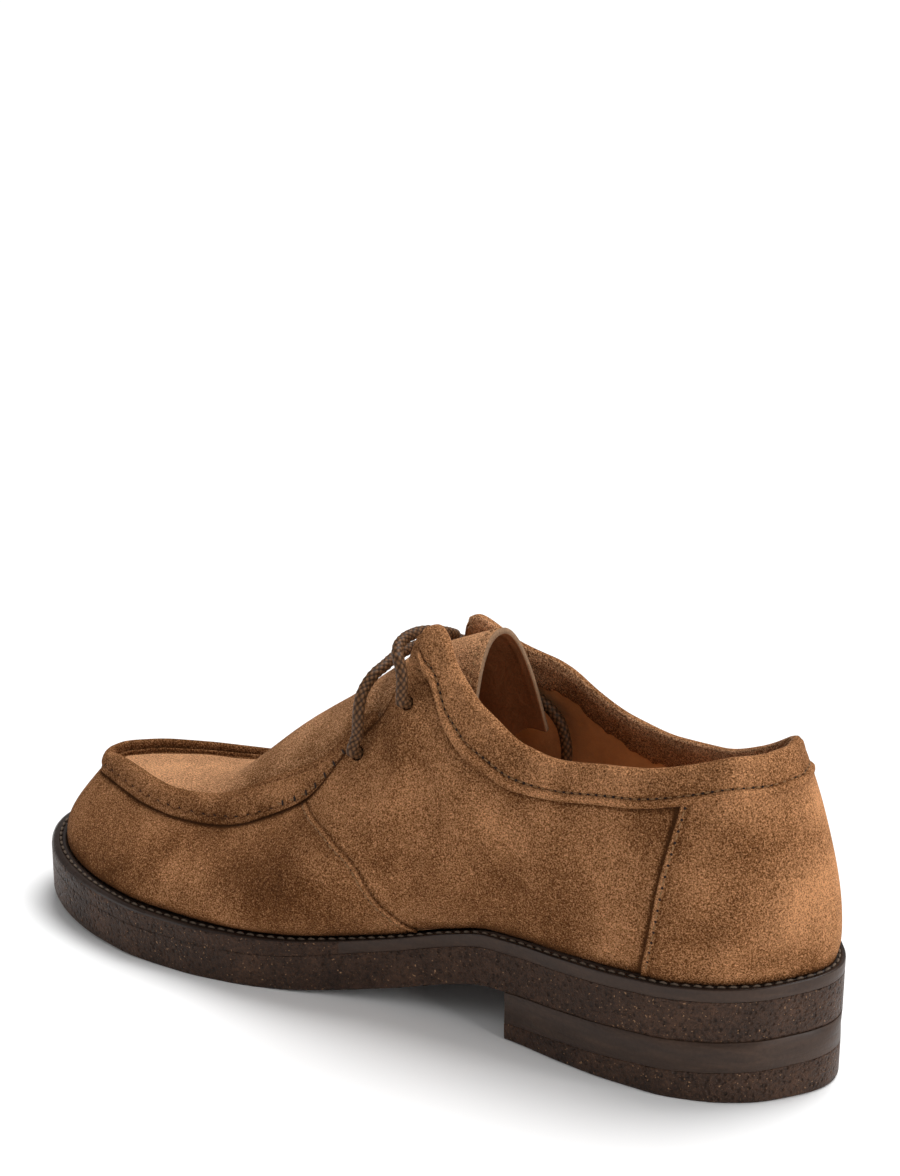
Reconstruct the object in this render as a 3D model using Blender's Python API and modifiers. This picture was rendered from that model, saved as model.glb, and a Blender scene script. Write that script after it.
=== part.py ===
"""A low suede lace-up shoe with an apron toe for the right foot, on a stitched welt and a pitted sole.

+Z is up, the toe points along -X and the inner (medial) side of the foot is at -Y.
All sizes are in metres and the shoe stands on z = 0.
"""

import math

import bpy
import numpy as np
from mathutils import Vector

# Driving sizes of the last and the sole
LENGTH = 0.302
BALL_WIDTH = 0.102
UPPER_RISE = 0.097
TOE_SPRING = 0.005
HEEL_PITCH = 0.0167
HEEL_BACK_PITCH = 0.0222
HEEL_LENGTH_MEDIAL = 0.101
HEEL_LENGTH_LATERAL = 0.093

# Thicknesses
SOLE_THICK = 0.0182
TOP_PIECE_FRONT = 0.0058
TOP_PIECE_BACK = 0.0119
INSOLE_THICK = 0.003
INSOLE_TAPER = 0.0012
UPPER_WALL = 0.0019
TONGUE_WALL = 0.0024
COUNTER_WALL = 0.0012
BAND_WALL = 0.0008
GAP = 0.0003
BAND_LIFT = 0.0004

# Trim
WELT_STRIP = 0.012
WELT_EDGE = 0.0064
WELT_LEDGE = 0.0056
SOLE_EDGE = 0.0008
BAND_OUTSIDE = 0.0105
BAND_INSIDE = 0.012
SEAM_WIDTH = 0.0078
SEAM_THICK = 0.0050
EYELET_BORE = 0.0050
LACE_WIDTH = 0.0037
LACE_TIP_WIDTH = 0.0030
LACE_TIP_LENGTH = 0.015
LACE_CLEAR = 0.0006
LACE_STUB = 0.0026

HALF_BALL = BALL_WIDTH / 2

# Plan of the sole: share of the length from the heel, then the centre line and the two half widths,
# as shares of half the ball width
SOLE_OUTLINE = (
    # share, centre, medial, lateral
    (0.000, 0.000, 0.000, 0.000),
    (0.020, 0.000, 0.300, 0.300),
    (0.050, 0.000, 0.510, 0.510),
    (0.100, 0.000, 0.672, 0.672),
    (0.150, 0.000, 0.733, 0.733),
    (0.200, 0.000, 0.730, 0.741),
    (0.260, 0.000, 0.690, 0.745),
    (0.330, 0.000, 0.620, 0.741),
    (0.400, 0.000, 0.592, 0.761),
    (0.500, 0.000, 0.668, 0.843),
    (0.600, 0.000, 0.835, 0.961),
    (0.660, 0.000, 0.929, 1.012),
    (0.720, 0.000, 0.972, 1.027),
    (0.780, -0.005, 0.963, 1.000),
    (0.840, -0.015, 0.890, 0.925),
    (0.900, -0.030, 0.750, 0.780),
    (0.950, -0.040, 0.555, 0.550),
    (0.980, -0.040, 0.355, 0.345),
    (1.000, -0.040, 0.000, 0.000),
)

# Underside of the outsole: the heel's seat ends just ahead of its breast, and the ball lies flat from
# BALL_START to BALL_END. Share of the way from seat to ball or from ball to toe, share of the rise.
SEAT_AHEAD = 0.008
SEAT_END = HEEL_LENGTH_MEDIAL / LENGTH + SEAT_AHEAD
BALL_START = 0.63
BALL_END = 0.76
WAIST_RISE = ((0.00, 1.00), (0.06, 0.985), (0.23, 0.77), (0.46, 0.42), (0.70, 0.15), (0.90, 0.02), (1.00, 0.00))
TOE_RISE = ((0.00, 0.00), (0.42, 0.20), (0.75, 0.60), (1.00, 1.00))

# Depth of the welt's edge and how far its top edge is rounded off, as shares of WELT_EDGE
WELT_THICK = ((0.00, 0.69), (0.50, 0.72), (0.66, 1.00), (1.00, 1.00))
WELT_ROUND = ((0.00, 0.08), (0.50, 0.10), (0.70, 0.25), (0.85, 0.36), (1.00, 0.40))

# Width of the welt that shows round the upper: share of the length, share of WELT_LEDGE
LEDGE = ((0.00, 0.59), (0.20, 0.54), (0.40, 0.46), (0.60, 0.64), (0.75, 0.89), (1.00, 1.00))

# Each line of the upper's wall: share of the length at the welt and at the top line, half width and rise
# of the top line, and how far the wall swells out between them.
# Half width and swell are shares of half the ball width, and the rise is a share of UPPER_RISE.
WALL_MEDIAL = (
    # foot share, top share, half width, rise, swell
    (0.000, 0.0660, 0.000, 0.6930, 0.085),
    (0.030, 0.0750, 0.200, 0.7000, 0.085),
    (0.080, 0.0980, 0.392, 0.7130, 0.090),
    (0.140, 0.1420, 0.480, 0.6830, 0.090),
    (0.190, 0.1880, 0.530, 0.6580, 0.085),
    (0.235, 0.2300, 0.549, 0.6520, 0.090),
    (0.280, 0.2760, 0.559, 0.6430, 0.110),
    (0.330, 0.3220, 0.549, 0.6700, 0.140),
    (0.385, 0.3750, 0.500, 0.7700, 0.190),
    (0.425, 0.4180, 0.402, 0.8980, 0.230),
    (0.455, 0.4570, 0.285, 1.0380, 0.250),
    (0.470, 0.4780, 0.300, 1.0130, 0.255),
    (0.485, 0.4880, 0.333, 0.9240, 0.255),
    (0.500, 0.4990, 0.373, 0.8400, 0.255),
    (0.520, 0.5100, 0.422, 0.7730, 0.250),
    (0.545, 0.5390, 0.490, 0.6800, 0.240),
    (0.600, 0.5890, 0.569, 0.4890, 0.210),
    (0.650, 0.6420, 0.580, 0.3880, 0.185),
    (0.700, 0.6880, 0.570, 0.3180, 0.150),
    (0.750, 0.7370, 0.532, 0.2790, 0.125),
    (0.800, 0.7830, 0.512, 0.2655, 0.105),
    (0.850, 0.8290, 0.443, 0.2570, 0.082),
    (0.900, 0.8730, 0.334, 0.2465, 0.062),
    (0.950, 0.9120, 0.222, 0.2330, 0.050),
    (0.980, 0.9340, 0.150, 0.2225, 0.045),
    (1.000, 0.9437, 0.000, 0.2165, 0.045),
)
WALL_LATERAL = (
    # foot share, top share, half width, rise, swell
    (0.000, 0.0660, 0.000, 0.6930, 0.085),
    (0.030, 0.0750, 0.200, 0.6880, 0.085),
    (0.080, 0.0940, 0.350, 0.6600, 0.090),
    (0.140, 0.1380, 0.450, 0.5880, 0.090),
    (0.190, 0.1860, 0.510, 0.5480, 0.085),
    (0.235, 0.2370, 0.530, 0.5530, 0.090),
    (0.280, 0.2900, 0.549, 0.5880, 0.100),
    (0.330, 0.3360, 0.549, 0.6560, 0.130),
    (0.385, 0.3820, 0.510, 0.7680, 0.170),
    (0.425, 0.4240, 0.431, 0.8580, 0.200),
    (0.455, 0.4630, 0.285, 0.9850, 0.220),
    (0.470, 0.4800, 0.300, 0.9650, 0.230),
    (0.485, 0.4880, 0.333, 0.9040, 0.230),
    (0.500, 0.4990, 0.373, 0.8300, 0.230),
    (0.520, 0.5100, 0.422, 0.7730, 0.225),
    (0.545, 0.5390, 0.490, 0.6800, 0.220),
    (0.600, 0.5890, 0.569, 0.4890, 0.200),
    (0.650, 0.6420, 0.580, 0.3880, 0.185),
    (0.700, 0.6880, 0.570, 0.3180, 0.155),
    (0.750, 0.7370, 0.532, 0.2790, 0.130),
    (0.800, 0.7830, 0.512, 0.2655, 0.110),
    (0.850, 0.8290, 0.443, 0.2570, 0.085),
    (0.900, 0.8730, 0.334, 0.2465, 0.062),
    (0.950, 0.9120, 0.222, 0.2330, 0.050),
    (0.980, 0.9340, 0.150, 0.2225, 0.045),
    (1.000, 0.9437, 0.000, 0.2165, 0.045),
)
SWELL_POWER = 0.8

# Crest of the apron and the tongue: share of the length, height above the welt as a share of UPPER_RISE,
# and how square the rise from the top line to it is
CREST = (
    # share, height, squareness
    (0.4000, 0.9773, 2.20),
    (0.4375, 0.9684, 2.20),
    (0.4840, 0.9452, 2.20),
    (0.5000, 0.9342, 2.20),
    (0.5400, 0.8667, 2.20),
    (0.6080, 0.7280, 2.20),
    (0.6640, 0.5964, 2.25),
    (0.7070, 0.4804, 2.40),
    (0.7300, 0.4184, 2.70),
    (0.7600, 0.3684, 3.20),
    (0.8000, 0.3347, 3.70),
    (0.8400, 0.3208, 4.00),
    (0.8800, 0.3054, 4.00),
    (0.9150, 0.2756, 4.00),
    (0.9320, 0.2560, 3.60),
    (0.9437, 0.2375, 3.00),
)
THROAT = 0.585

# Tongue: share of the length, half widths of its two sides and the drop from its crest to its edges,
# as shares of half the ball width and of UPPER_RISE
TONGUE = (
    # share, medial, lateral, drop
    (0.410, 0.490, 0.470, 0.420),
    (0.430, 0.505, 0.450, 0.395),
    (0.455, 0.540, 0.445, 0.430),
    (0.487, 0.585, 0.475, 0.465),
    (0.520, 0.600, 0.570, 0.450),
    (0.550, 0.600, 0.600, 0.425),
    (0.566, 0.555, 0.555, 0.370),
    (0.586, 0.500, 0.500, 0.240),
)
TONGUE_DOME = 2.3
TONGUE_LEAN = 0.005

# Collar band: share of the length at the welt, outside width as a share of BAND_OUTSIDE
BAND_SPREAD = ((0.00, 1.00), (0.28, 1.05), (0.33, 1.25), (0.385, 1.50), (0.43, 1.60), (0.455, 1.40), (0.464, 0.70))

# Front edges of the heel counter: height on the wall, share of the length
COUNTER_EDGE = ((0.00, 0.176), (0.35, 0.163), (0.70, 0.151), (1.00, 0.143))

# Raised apron seam: share of the length, width and thickness as shares of the full section
SEAM_SIZE = ((0.585, 0.60, 0.40), (0.640, 0.90, 0.55), (0.700, 1.00, 0.85), (0.760, 1.00, 1.00), (0.900, 1.00, 1.00),
             (0.960, 0.90, 1.00), (1.000, 0.64, 1.00))

# Section of the seam: how far it laps down the wall, as a share of its thickness, the places of its base on
# the apron, and its rounded top. Steps inwards are shares of its width, heights over the apron of its thickness.
SEAM_LAP = 0.15
SEAM_BASE = (0.20, 0.45, 0.72, 1.00)
SEAM_TOP = (
    # inwards, height
    (0.98, 0.34),
    (0.80, 0.66),
    (0.52, 0.88),
    (0.26, 1.00),
    (0.09, 0.84),
    (0.01, 0.46),
)

# Eyelets: share of the length, height on the wall
UPPER_EYELET = (0.469, 0.803)
LOWER_EYELET = (0.538, 0.930)

# How finely the forms are cut: the wall's lines as share from, share to and lines, and its heights
LINES = ((0.00, SEAT_END, 13), (SEAT_END, THROAT, 18), (THROAT, 1.00, 16))
HEIGHTS = (0.00, 0.08, 0.20, 0.32, 0.44, 0.56, 0.68, 0.80, 0.90, 1.00)
APRON_STRIPS = 10
HEEL_LINES = 25
COUNTER_LINES = 27
COUNTER_ROWS = 8
COUNTER_FOOT = 0.03
TONGUE_LINES = 15
TONGUE_COLUMNS = 13
CORD_STEPS = 1
CORD_SIDES = 12
OUTLINE_SAMPLES = 2001
APRON_SAMPLES = 400
SHARP_ANGLE = math.radians(40)
TURN_STEP = 1e-3

# Routes of the lace between the points where it leaves the eyelets: share of the length, distance across
# as a share of half the ball width, height above the welt as a share of UPPER_RISE
LOWER_CROSSING = (
    # share, across, above
    (0.5275, -0.541, 0.7240),
    (0.5265, -0.539, 0.7811),
    (0.5281, -0.500, 0.8347),
    (0.5298, -0.431, 0.8676),
    (0.5278, -0.333, 0.9005),
    (0.5262, -0.235, 0.9129),
    (0.5268, -0.127, 0.9226),
    (0.5275, -0.010, 0.9250),
    (0.5275, 0.108, 0.9219),
    (0.5275, 0.225, 0.9085),
    (0.5275, 0.333, 0.8807),
    (0.5275, 0.431, 0.8374),
    (0.5272, 0.498, 0.7826),
    (0.5272, 0.529, 0.7259),
)
UPPER_CROSSING = (
    # share, across, above
    (0.4735, -0.514, 0.8927),
    (0.4755, -0.504, 0.9283),
    (0.4831, -0.471, 0.9723),
    (0.4894, -0.422, 0.9926),
    (0.4937, -0.357, 1.0071),
    (0.4954, -0.265, 1.0145),
    (0.4937, -0.180, 1.0143),
    (0.4904, -0.088, 1.0057),
    (0.4868, 0.000, 0.9905),
    (0.4854, 0.098, 0.9710),
    (0.4881, 0.216, 0.9452),
    (0.4980, 0.314, 0.9268),
    (0.5030, 0.392, 0.9057),
    (0.4980, 0.467, 0.8773),
    (0.4841, 0.502, 0.8401),
)
INNER_END = (
    # share, across, above
    (0.4609, 0.369, 0.7749),
    (0.4470, 0.408, 0.7413),
    (0.4272, 0.475, 0.6882),
    (0.4040, 0.539, 0.6192),
    (0.3848, 0.559, 0.5243),
    (0.3781, 0.549, 0.4260),
    (0.3834, 0.525, 0.3376),
)

# Suede, leather and sole looks: name, colour, roughness
FINISHES = (
    ("brown_suede", (0.24, 0.12, 0.055), 0.95),
    ("pitted_sole", (0.045, 0.030, 0.024), 0.85),
    ("smooth_sole", (0.055, 0.038, 0.030), 0.45),
    ("tan_lining", (0.30, 0.14, 0.06), 0.60),
    ("taupe_lace", (0.13, 0.095, 0.07), 0.70),
)


# Reading the tables

def smooth(rows, column, at):
    """Monotone cubic through a table's column, read along its first column."""
    xs = np.array([row[0] for row in rows])
    ys = np.array([row[column] for row in rows])
    step = np.diff(xs)
    slope = np.diff(ys) / step
    tangent = np.zeros(len(xs))
    same = slope[:-1] * slope[1:] > 0
    tangent[1:-1][same] = 2 * slope[:-1][same] * slope[1:][same] / (slope[:-1] + slope[1:])[same]
    tangent[0] = slope[0]
    tangent[-1] = slope[-1]
    at = np.clip(np.asarray(at, float), xs[0], xs[-1])
    k = np.clip(np.searchsorted(xs, at, side="right") - 1, 0, len(xs) - 2)
    t = (at - xs[k]) / step[k]
    start = (1 + 2 * t) * (1 - t) ** 2 * ys[k] + t * (1 - t) ** 2 * step[k] * tangent[k]
    return start + t**2 * (3 - 2 * t) * ys[k + 1] + t**2 * (t - 1) * step[k] * tangent[k + 1]


def turn_at(share):
    """Angle round the outline on its own side: 0 at the heel, pi at the toe."""
    return math.acos(1 - 2 * share)


def share_at(turn):
    return (1 - np.cos(turn)) / 2


def by_turn(rows):
    """The same table with its shares turned into angles, so that both ends come out round."""
    return [(turn_at(row[0]), *row[1:]) for row in rows]


def side_of(turn):
    """The angle folded to 0..pi, and -1 on the medial side or 1 on the lateral one."""
    turn = np.mod(turn, 2 * math.pi)
    medial = turn <= math.pi
    return np.where(medial, turn, 2 * math.pi - turn), np.where(medial, -1.0, 1.0)


def wall_column(column, turn):
    own, side = side_of(turn)
    medial = smooth(by_turn(WALL_MEDIAL), column, own)
    lateral = smooth(by_turn(WALL_LATERAL), column, own)
    return np.where(side < 0, medial, lateral)


def x_of(share):
    return LENGTH * (0.5 - np.asarray(share))


# The form of the sole

def edge(turn):
    """Plan of the sole's edge."""
    own, side = side_of(turn)
    rows = by_turn(SOLE_OUTLINE)
    half = np.where(side < 0, smooth(rows, 2, own), smooth(rows, 3, own))
    return np.stack([x_of(share_at(turn)), (smooth(rows, 1, own) + side * half) * HALF_BALL], -1)


def outward(turn):
    """Level unit vectors that point out of the sole's edge."""
    along = edge(turn + TURN_STEP) - edge(turn - TURN_STEP)
    normal = np.stack([-along[:, 1], along[:, 0]], -1)
    return normal / np.linalg.norm(normal, axis=1)[:, None]


def outline(turn, inset):
    return edge(turn) - np.broadcast_to(inset, len(turn))[:, None] * outward(turn)


def underside(share):
    """Height of the outsole's underside, which is also the seat of the heel."""
    share = np.asarray(share, float)
    seat = HEEL_PITCH + (HEEL_BACK_PITCH - HEEL_PITCH) * (1 - share / SEAT_END)
    waist = HEEL_PITCH * smooth(WAIST_RISE, 1, (share - SEAT_END) / (BALL_START - SEAT_END))
    toe = TOE_SPRING * smooth(TOE_RISE, 1, (share - BALL_END) / (1 - BALL_END))
    return np.where(share < SEAT_END, seat, waist + toe)


def welt_top(share):
    return underside(share) + SOLE_THICK


def outsole_top(share):
    return welt_top(share) - smooth(WELT_THICK, 1, share) * WELT_EDGE - GAP


def welt_floor(share):
    return outsole_top(share) + GAP


def upper_floor(share):
    return welt_top(share) + GAP


def level(turn, inset, height_of):
    """Points round the sole at an inset, each at the height that belongs to its place along the shoe."""
    plan = outline(turn, inset)
    return np.column_stack([plan, height_of(0.5 - plan[:, 0] / LENGTH)])


def top_piece_top(share):
    return TOP_PIECE_FRONT + (TOP_PIECE_BACK - TOP_PIECE_FRONT) * (1 - np.asarray(share) / SEAT_END)


def ledge(turn):
    return smooth(LEDGE, 1, share_at(turn)) * WELT_LEDGE


# The form of the upper

def wall(turn, height):
    """Outer face of the upper's wall, from 0 at the welt to 1 at the top line."""
    foot = level(turn, ledge(turn), upper_floor)
    side = side_of(turn)[1]
    top = np.column_stack([
        x_of(wall_column(1, turn)),
        side * wall_column(2, turn) * HALF_BALL,
        welt_top(share_at(turn)) + wall_column(3, turn) * UPPER_RISE,
    ])
    swell = wall_column(4, turn) * HALF_BALL * np.sin(math.pi * np.power(height, SWELL_POWER))
    out = np.column_stack([outward(turn), np.zeros(len(turn))])
    return foot + (top - foot) * np.asarray(height)[:, None] + out * swell[:, None]


def wall_frame(turn, height):
    """A point of the wall with its outward normal and its upward direction."""
    here = wall(turn, height)
    low = np.maximum(height - TURN_STEP, 0.0)
    up = wall(turn, np.minimum(height + TURN_STEP, 1.0)) - wall(turn, low)
    along = wall(turn + TURN_STEP, height) - wall(turn - TURN_STEP, height)
    normal = np.cross(up, along)
    normal /= np.linalg.norm(normal, axis=1)[:, None]
    return here, normal, up / np.linalg.norm(up, axis=1)[:, None]


def crest(share):
    return welt_top(share) + smooth(CREST, 1, share) * UPPER_RISE


def apron(turn, across):
    """Top of the toe between the two top lines, across from -1 (medial) to 1 (lateral)."""
    medial = wall(np.array([turn]), np.ones(1))[0]
    lateral = wall(np.array([2 * math.pi - turn]), np.ones(1))[0]
    edge_line = medial + (lateral - medial) * (across + 1) / 2
    share = 0.5 - edge_line[0] / LENGTH
    dome = (crest(share) - edge_line[2]) * (1 - abs(across) ** float(smooth(CREST, 2, share)))
    return edge_line + np.array([0.0, 0.0, dome])


def apron_under(plan):
    """Point of the apron at a place in plan."""
    turns = np.linspace(turn_at(THROAT), math.pi, APRON_SAMPLES)
    top = wall(turns, np.ones(APRON_SAMPLES))
    own = float(np.interp(-plan[0], -top[:, 0], turns))
    half = float(np.interp(-plan[0], -top[:, 0], -top[:, 1]))
    return apron(own, float(np.clip(plan[1] / max(half, GAP), -1.0, 1.0)))


def tongue(share, across):
    """Outer face of the tongue, across from -1 (medial) to 1 (lateral)."""
    half = smooth(TONGUE, 1 if across < 0 else 2, share) * HALF_BALL
    drop = smooth(TONGUE, 3, share) * UPPER_RISE * abs(across) ** TONGUE_DOME
    lean = TONGUE_LEAN * across**2 * (THROAT - share) / (THROAT - TONGUE[0][0])
    return np.array([x_of(share) + lean, across * half, crest(share) - drop])


# Laying out lines and grids

def wall_turns():
    """Angles of the wall's lines, once round the shoe from the heel over the medial side."""
    half = [0.0]
    for start, end, lines in LINES:
        half.extend(np.linspace(turn_at(start), turn_at(end), lines + 1)[1:])
    back = [2 * math.pi - turn for turn in half[-2:0:-1]]
    return np.array(half + back)


def turns_behind(share):
    """The wall's lines from the lateral side round the heel to the medial side, up to a share of the length."""
    end = turn_at(share)
    half = [turn for turn in wall_turns() if 0 < turn < end - TURN_STEP and turn <= math.pi]
    return np.array([-end, *[-turn for turn in reversed(half)], 0.0, *half, end])


def turns_ahead(share):
    """The wall's lines from the medial side round the toe to the lateral side, from a share of the length."""
    start = turn_at(share)
    inside = [turn for turn in wall_turns() if start + TURN_STEP < turn < 2 * math.pi - start - TURN_STEP]
    return np.array([start, *inside, 2 * math.pi - start])


def grid_faces(rows, columns, closed=False):
    """Quads of a grid numbered row by row, each row closed into a ring if asked."""
    faces = []
    for r in range(rows - 1):
        for c in range(columns if closed else columns - 1):
            d = (c + 1) % columns
            faces.append((r * columns + c, (r + 1) * columns + c, (r + 1) * columns + d, r * columns + d))
    return faces


def rung_faces(start, count, skip, upwards):
    """Faces across a ring from each of its points to the twin on the other side of the shoe."""
    faces = []
    for i in range((count - skip + 1) // 2):
        twin = start + (count - skip - i) % count
        after = start + (count - skip - i - 1) % count
        face = tuple(dict.fromkeys((start + i, start + i + 1, after, twin)))
        faces.append(tuple(reversed(face)) if upwards else face)
    return faces


# Making the objects

def clear_scene():
    for obj in list(bpy.data.objects):
        bpy.data.objects.remove(obj, do_unlink=True)


def collection(name):
    group = bpy.data.collections.new(name)
    bpy.context.scene.collection.children.link(group)
    return group


def finish(name, colour, roughness):
    material = bpy.data.materials.new(name)
    material.use_nodes = True
    shader = material.node_tree.nodes["Principled BSDF"]
    shader.inputs["Base Color"].default_value = (*colour, 1.0)
    shader.inputs["Roughness"].default_value = roughness
    shader.inputs["Metallic"].default_value = 0.0
    return material


def place(obj, group, centre, material):
    group.objects.link(obj)
    obj.parent = centre
    obj.data.materials.append(material)
    return obj


def solid(name, points, faces):
    mesh = bpy.data.meshes.new(name)
    mesh.from_pydata([tuple(point) for point in points], [], faces)
    mesh.validate()
    mesh.shade_smooth()
    mesh.set_sharp_from_angle(angle=SHARP_ANGLE)
    return bpy.data.objects.new(name, mesh)


def slab(name, rings, skip=0):
    """Stack of rings with rungs across both ends; skip is 1 where a ring starts beside its last point."""
    count = len(rings[0])
    faces = grid_faces(len(rings), count, closed=True)
    faces += rung_faces(0, count, skip, upwards=False)
    faces += rung_faces((len(rings) - 1) * count, count, skip, upwards=True)
    return solid(name, np.concatenate(rings), faces)


def hoop(name, rings):
    """Closed tube of rings whose last ring joins the first."""
    count = len(rings[0])
    around = len(rings) * count
    faces = grid_faces(len(rings) + 1, count, closed=True)
    faces = [tuple(point % around for point in face) for face in faces]
    return solid(name, np.concatenate(rings), faces)


def bar(name, sections):
    """Solid through a row of closed sections, with flat ends."""
    count = len(sections[0])
    faces = grid_faces(len(sections), count, closed=True)
    faces.append(tuple(range(count)))
    faces.append(tuple(reversed(range((len(sections) - 1) * count, len(sections) * count))))
    return solid(name, np.concatenate(sections), faces)


def sheet(name, rows, thickness, outwards):
    """Open grid given its thickness by Solidify, on the side of its normals or behind them."""
    obj = solid(name, np.concatenate(rows), grid_faces(len(rows), len(rows[0])))
    thicken(obj, thickness, outwards)
    return obj


def thicken(obj, thickness, outwards):
    wall_thickness = obj.modifiers.new("Thickness", "SOLIDIFY")
    wall_thickness.thickness = thickness
    wall_thickness.offset = 1.0 if outwards else -1.0
    wall_thickness.use_even_offset = True
    wall_thickness.use_quality_normals = True


def cord(name, through, width):
    """Round cord along a smooth curve through its own points."""
    through = np.array(through)
    steps = CORD_STEPS * (len(through) - 1) + 1
    spacing = np.concatenate([[0.0], np.cumsum(np.linalg.norm(np.diff(through, axis=0), axis=1))])
    at = np.linspace(0.0, spacing[-1], steps)
    points = np.column_stack([smooth(list(zip(spacing, through[:, axis])), 1, at) for axis in range(3)])
    curve = bpy.data.curves.new(name, "CURVE")
    curve.dimensions = "3D"
    curve.bevel_depth = width / 2
    curve.bevel_resolution = CORD_SIDES // 4 - 1
    curve.use_fill_caps = True
    spline = curve.splines.new("POLY")
    spline.points.add(len(points) - 1)
    for target, point in zip(spline.points, points):
        target.co = (*point, 1.0)
    return bpy.data.objects.new(name, curve)


# Sub-parts of the sole

def heel_turns():
    """Lines of the heel block, from its lateral breast corner round the back to its medial one."""
    lateral = turn_at(HEEL_LENGTH_LATERAL / LENGTH)
    medial = turn_at(HEEL_LENGTH_MEDIAL / LENGTH)
    spread = np.linspace(-1.0, 1.0, HEEL_LINES)
    return np.where(spread < 0, spread * lateral, spread * medial)


def heel_top_piece():
    turn = heel_turns()
    return slab("heel_top_piece", [
        level(turn, SOLE_EDGE, lambda share: 0 * share),
        level(turn, 0.0, lambda share: 0 * share + SOLE_EDGE),
        level(turn, 0.0, top_piece_top),
    ], skip=1)


def heel_lift():
    turn = heel_turns()
    return slab("heel_lift", [
        level(turn, 0.0, lambda share: top_piece_top(share) + GAP),
        level(turn, 0.0, lambda share: underside(share) - GAP),
    ], skip=1)


def outsole():
    turn = wall_turns()
    return slab("outsole", [
        level(turn, SOLE_EDGE, underside),
        level(turn, 0.0, lambda share: underside(share) + SOLE_EDGE),
        level(turn, 0.0, outsole_top),
    ])


def welt():
    turn = wall_turns()
    rounding = smooth(WELT_ROUND, 1, share_at(turn)) * WELT_EDGE
    return hoop("welt", [
        level(turn, 0.0, welt_floor),
        level(turn, 0.0, welt_top) - np.outer(rounding, (0.0, 0.0, 1.0)),
        level(turn, rounding, welt_top),
        level(turn, WELT_STRIP, welt_top),
        level(turn, WELT_STRIP, welt_floor),
    ])


def insole():
    """Footbed with a filler that fits inside the welt."""
    turn = wall_turns()
    footbed = ledge(turn) + UPPER_WALL + 2 * GAP
    return slab("insole", [
        level(turn, WELT_STRIP + GAP, welt_floor),
        level(turn, WELT_STRIP + GAP, upper_floor),
        level(turn, footbed, upper_floor),
        level(turn, footbed + INSOLE_TAPER, lambda share: upper_floor(share) + INSOLE_THICK),
    ])


# Sub-parts of the upper

def upper():
    """Wall of the quarters and the vamp, with the apron that closes the toe."""
    turn = wall_turns()
    count = len(turn)
    toe = count // 2
    points = list(np.concatenate([wall(turn, np.full(count, height)) for height in HEIGHTS]))
    faces = grid_faces(len(HEIGHTS), count, closed=True)
    top = (len(HEIGHTS) - 1) * count
    rungs = []
    for i in range(int(np.argmin(abs(turn[:toe] - turn_at(THROAT)))), toe):
        rung = [top + i]
        for k in range(1, APRON_STRIPS):
            rung.append(len(points))
            points.append(apron(turn[i], 2 * k / APRON_STRIPS - 1))
        rungs.append(rung + [top + count - i])
    for rung, after in zip(rungs, rungs[1:]):
        for k in range(APRON_STRIPS):
            faces.append((rung[k], rung[k + 1], after[k + 1], after[k]))
    for k in range(APRON_STRIPS):
        faces.append((rungs[-1][k], rungs[-1][k + 1], top + toe))
    obj = solid("upper", points, faces)
    thicken(obj, UPPER_WALL, outwards=False)
    return obj


def eyelet(place_on_wall, side):
    """Middle of a lace hole on the wall's outer face and the outward normal there."""
    turn = np.array([turn_at(place_on_wall[0]) * -side])
    point, normal, up = wall_frame(turn, np.array([place_on_wall[1]]))
    return point[0], normal[0]


def add_eyelet_punches(cutters, centre):
    """Cutters for the lace holes, square to the wall."""
    for place_on_wall in (UPPER_EYELET, LOWER_EYELET):
        for side in (-1, 1):
            point, normal = eyelet(place_on_wall, side)
            bpy.ops.mesh.primitive_cylinder_add(vertices=CORD_SIDES, radius=EYELET_BORE / 2, depth=6 * UPPER_WALL)
            punch = bpy.context.object
            punch.name = "eyelet_punch"
            punch.location = point
            punch.rotation_mode = "QUATERNION"
            punch.rotation_quaternion = Vector(normal).to_track_quat("Z", "Y")
            punch.parent = centre
            punch.hide_render = True
            punch.display_type = "WIRE"
            for owner in list(punch.users_collection):
                owner.objects.unlink(punch)
            cutters.objects.link(punch)


def punch_eyelets(obj, cutters):
    holes = obj.modifiers.new("Eyelets", "BOOLEAN")
    holes.operation = "DIFFERENCE"
    holes.operand_type = "COLLECTION"
    holes.collection = cutters
    holes.solver = "EXACT"


def wall_rise(turn):
    return wall_column(3, turn) * UPPER_RISE


def band_foot(turn):
    """Height on the wall of the collar band's lower edge."""
    own = side_of(turn)[0]
    return 1 - smooth(BAND_SPREAD, 1, share_at(own)) * BAND_OUTSIDE / wall_rise(turn)


def collar_band():
    """Binding folded over the top line, from one quarter's tip round the heel to the other."""
    turn = turns_behind(BAND_SPREAD[-1][0])
    outside = band_foot(turn)
    inside = 1 - BAND_INSIDE / wall_rise(turn)
    rows = []
    for part in (0.0, 0.5, 1.0):
        point, normal, up = wall_frame(turn, outside + (1 - outside) * part)
        rows.append(point + normal * GAP + up * BAND_LIFT * (part == 1.0))
    for part in (1.0, 0.5, 0.0):
        point, normal, up = wall_frame(turn, inside + (1 - inside) * part)
        rows.append(point - normal * (UPPER_WALL + 2 * GAP) + up * BAND_LIFT * (part == 1.0))
    return sheet("collar_band", rows, BAND_WALL, outwards=True)


def heel_counter():
    """Panel over the back of the quarters, under the collar band."""
    spread = np.linspace(-1.0, 1.0, COUNTER_LINES)
    rows = []
    for part in np.linspace(COUNTER_FOOT, 1.0, COUNTER_ROWS):
        turn = spread * turn_at(float(smooth(COUNTER_EDGE, 1, part)))
        under_band = band_foot(turn) - 2 * GAP / wall_rise(turn)
        point, normal, up = wall_frame(turn, under_band * part)
        rows.append(point + normal * 2 * GAP)
    return sheet("heel_counter", rows, COUNTER_WALL, outwards=True)


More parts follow.
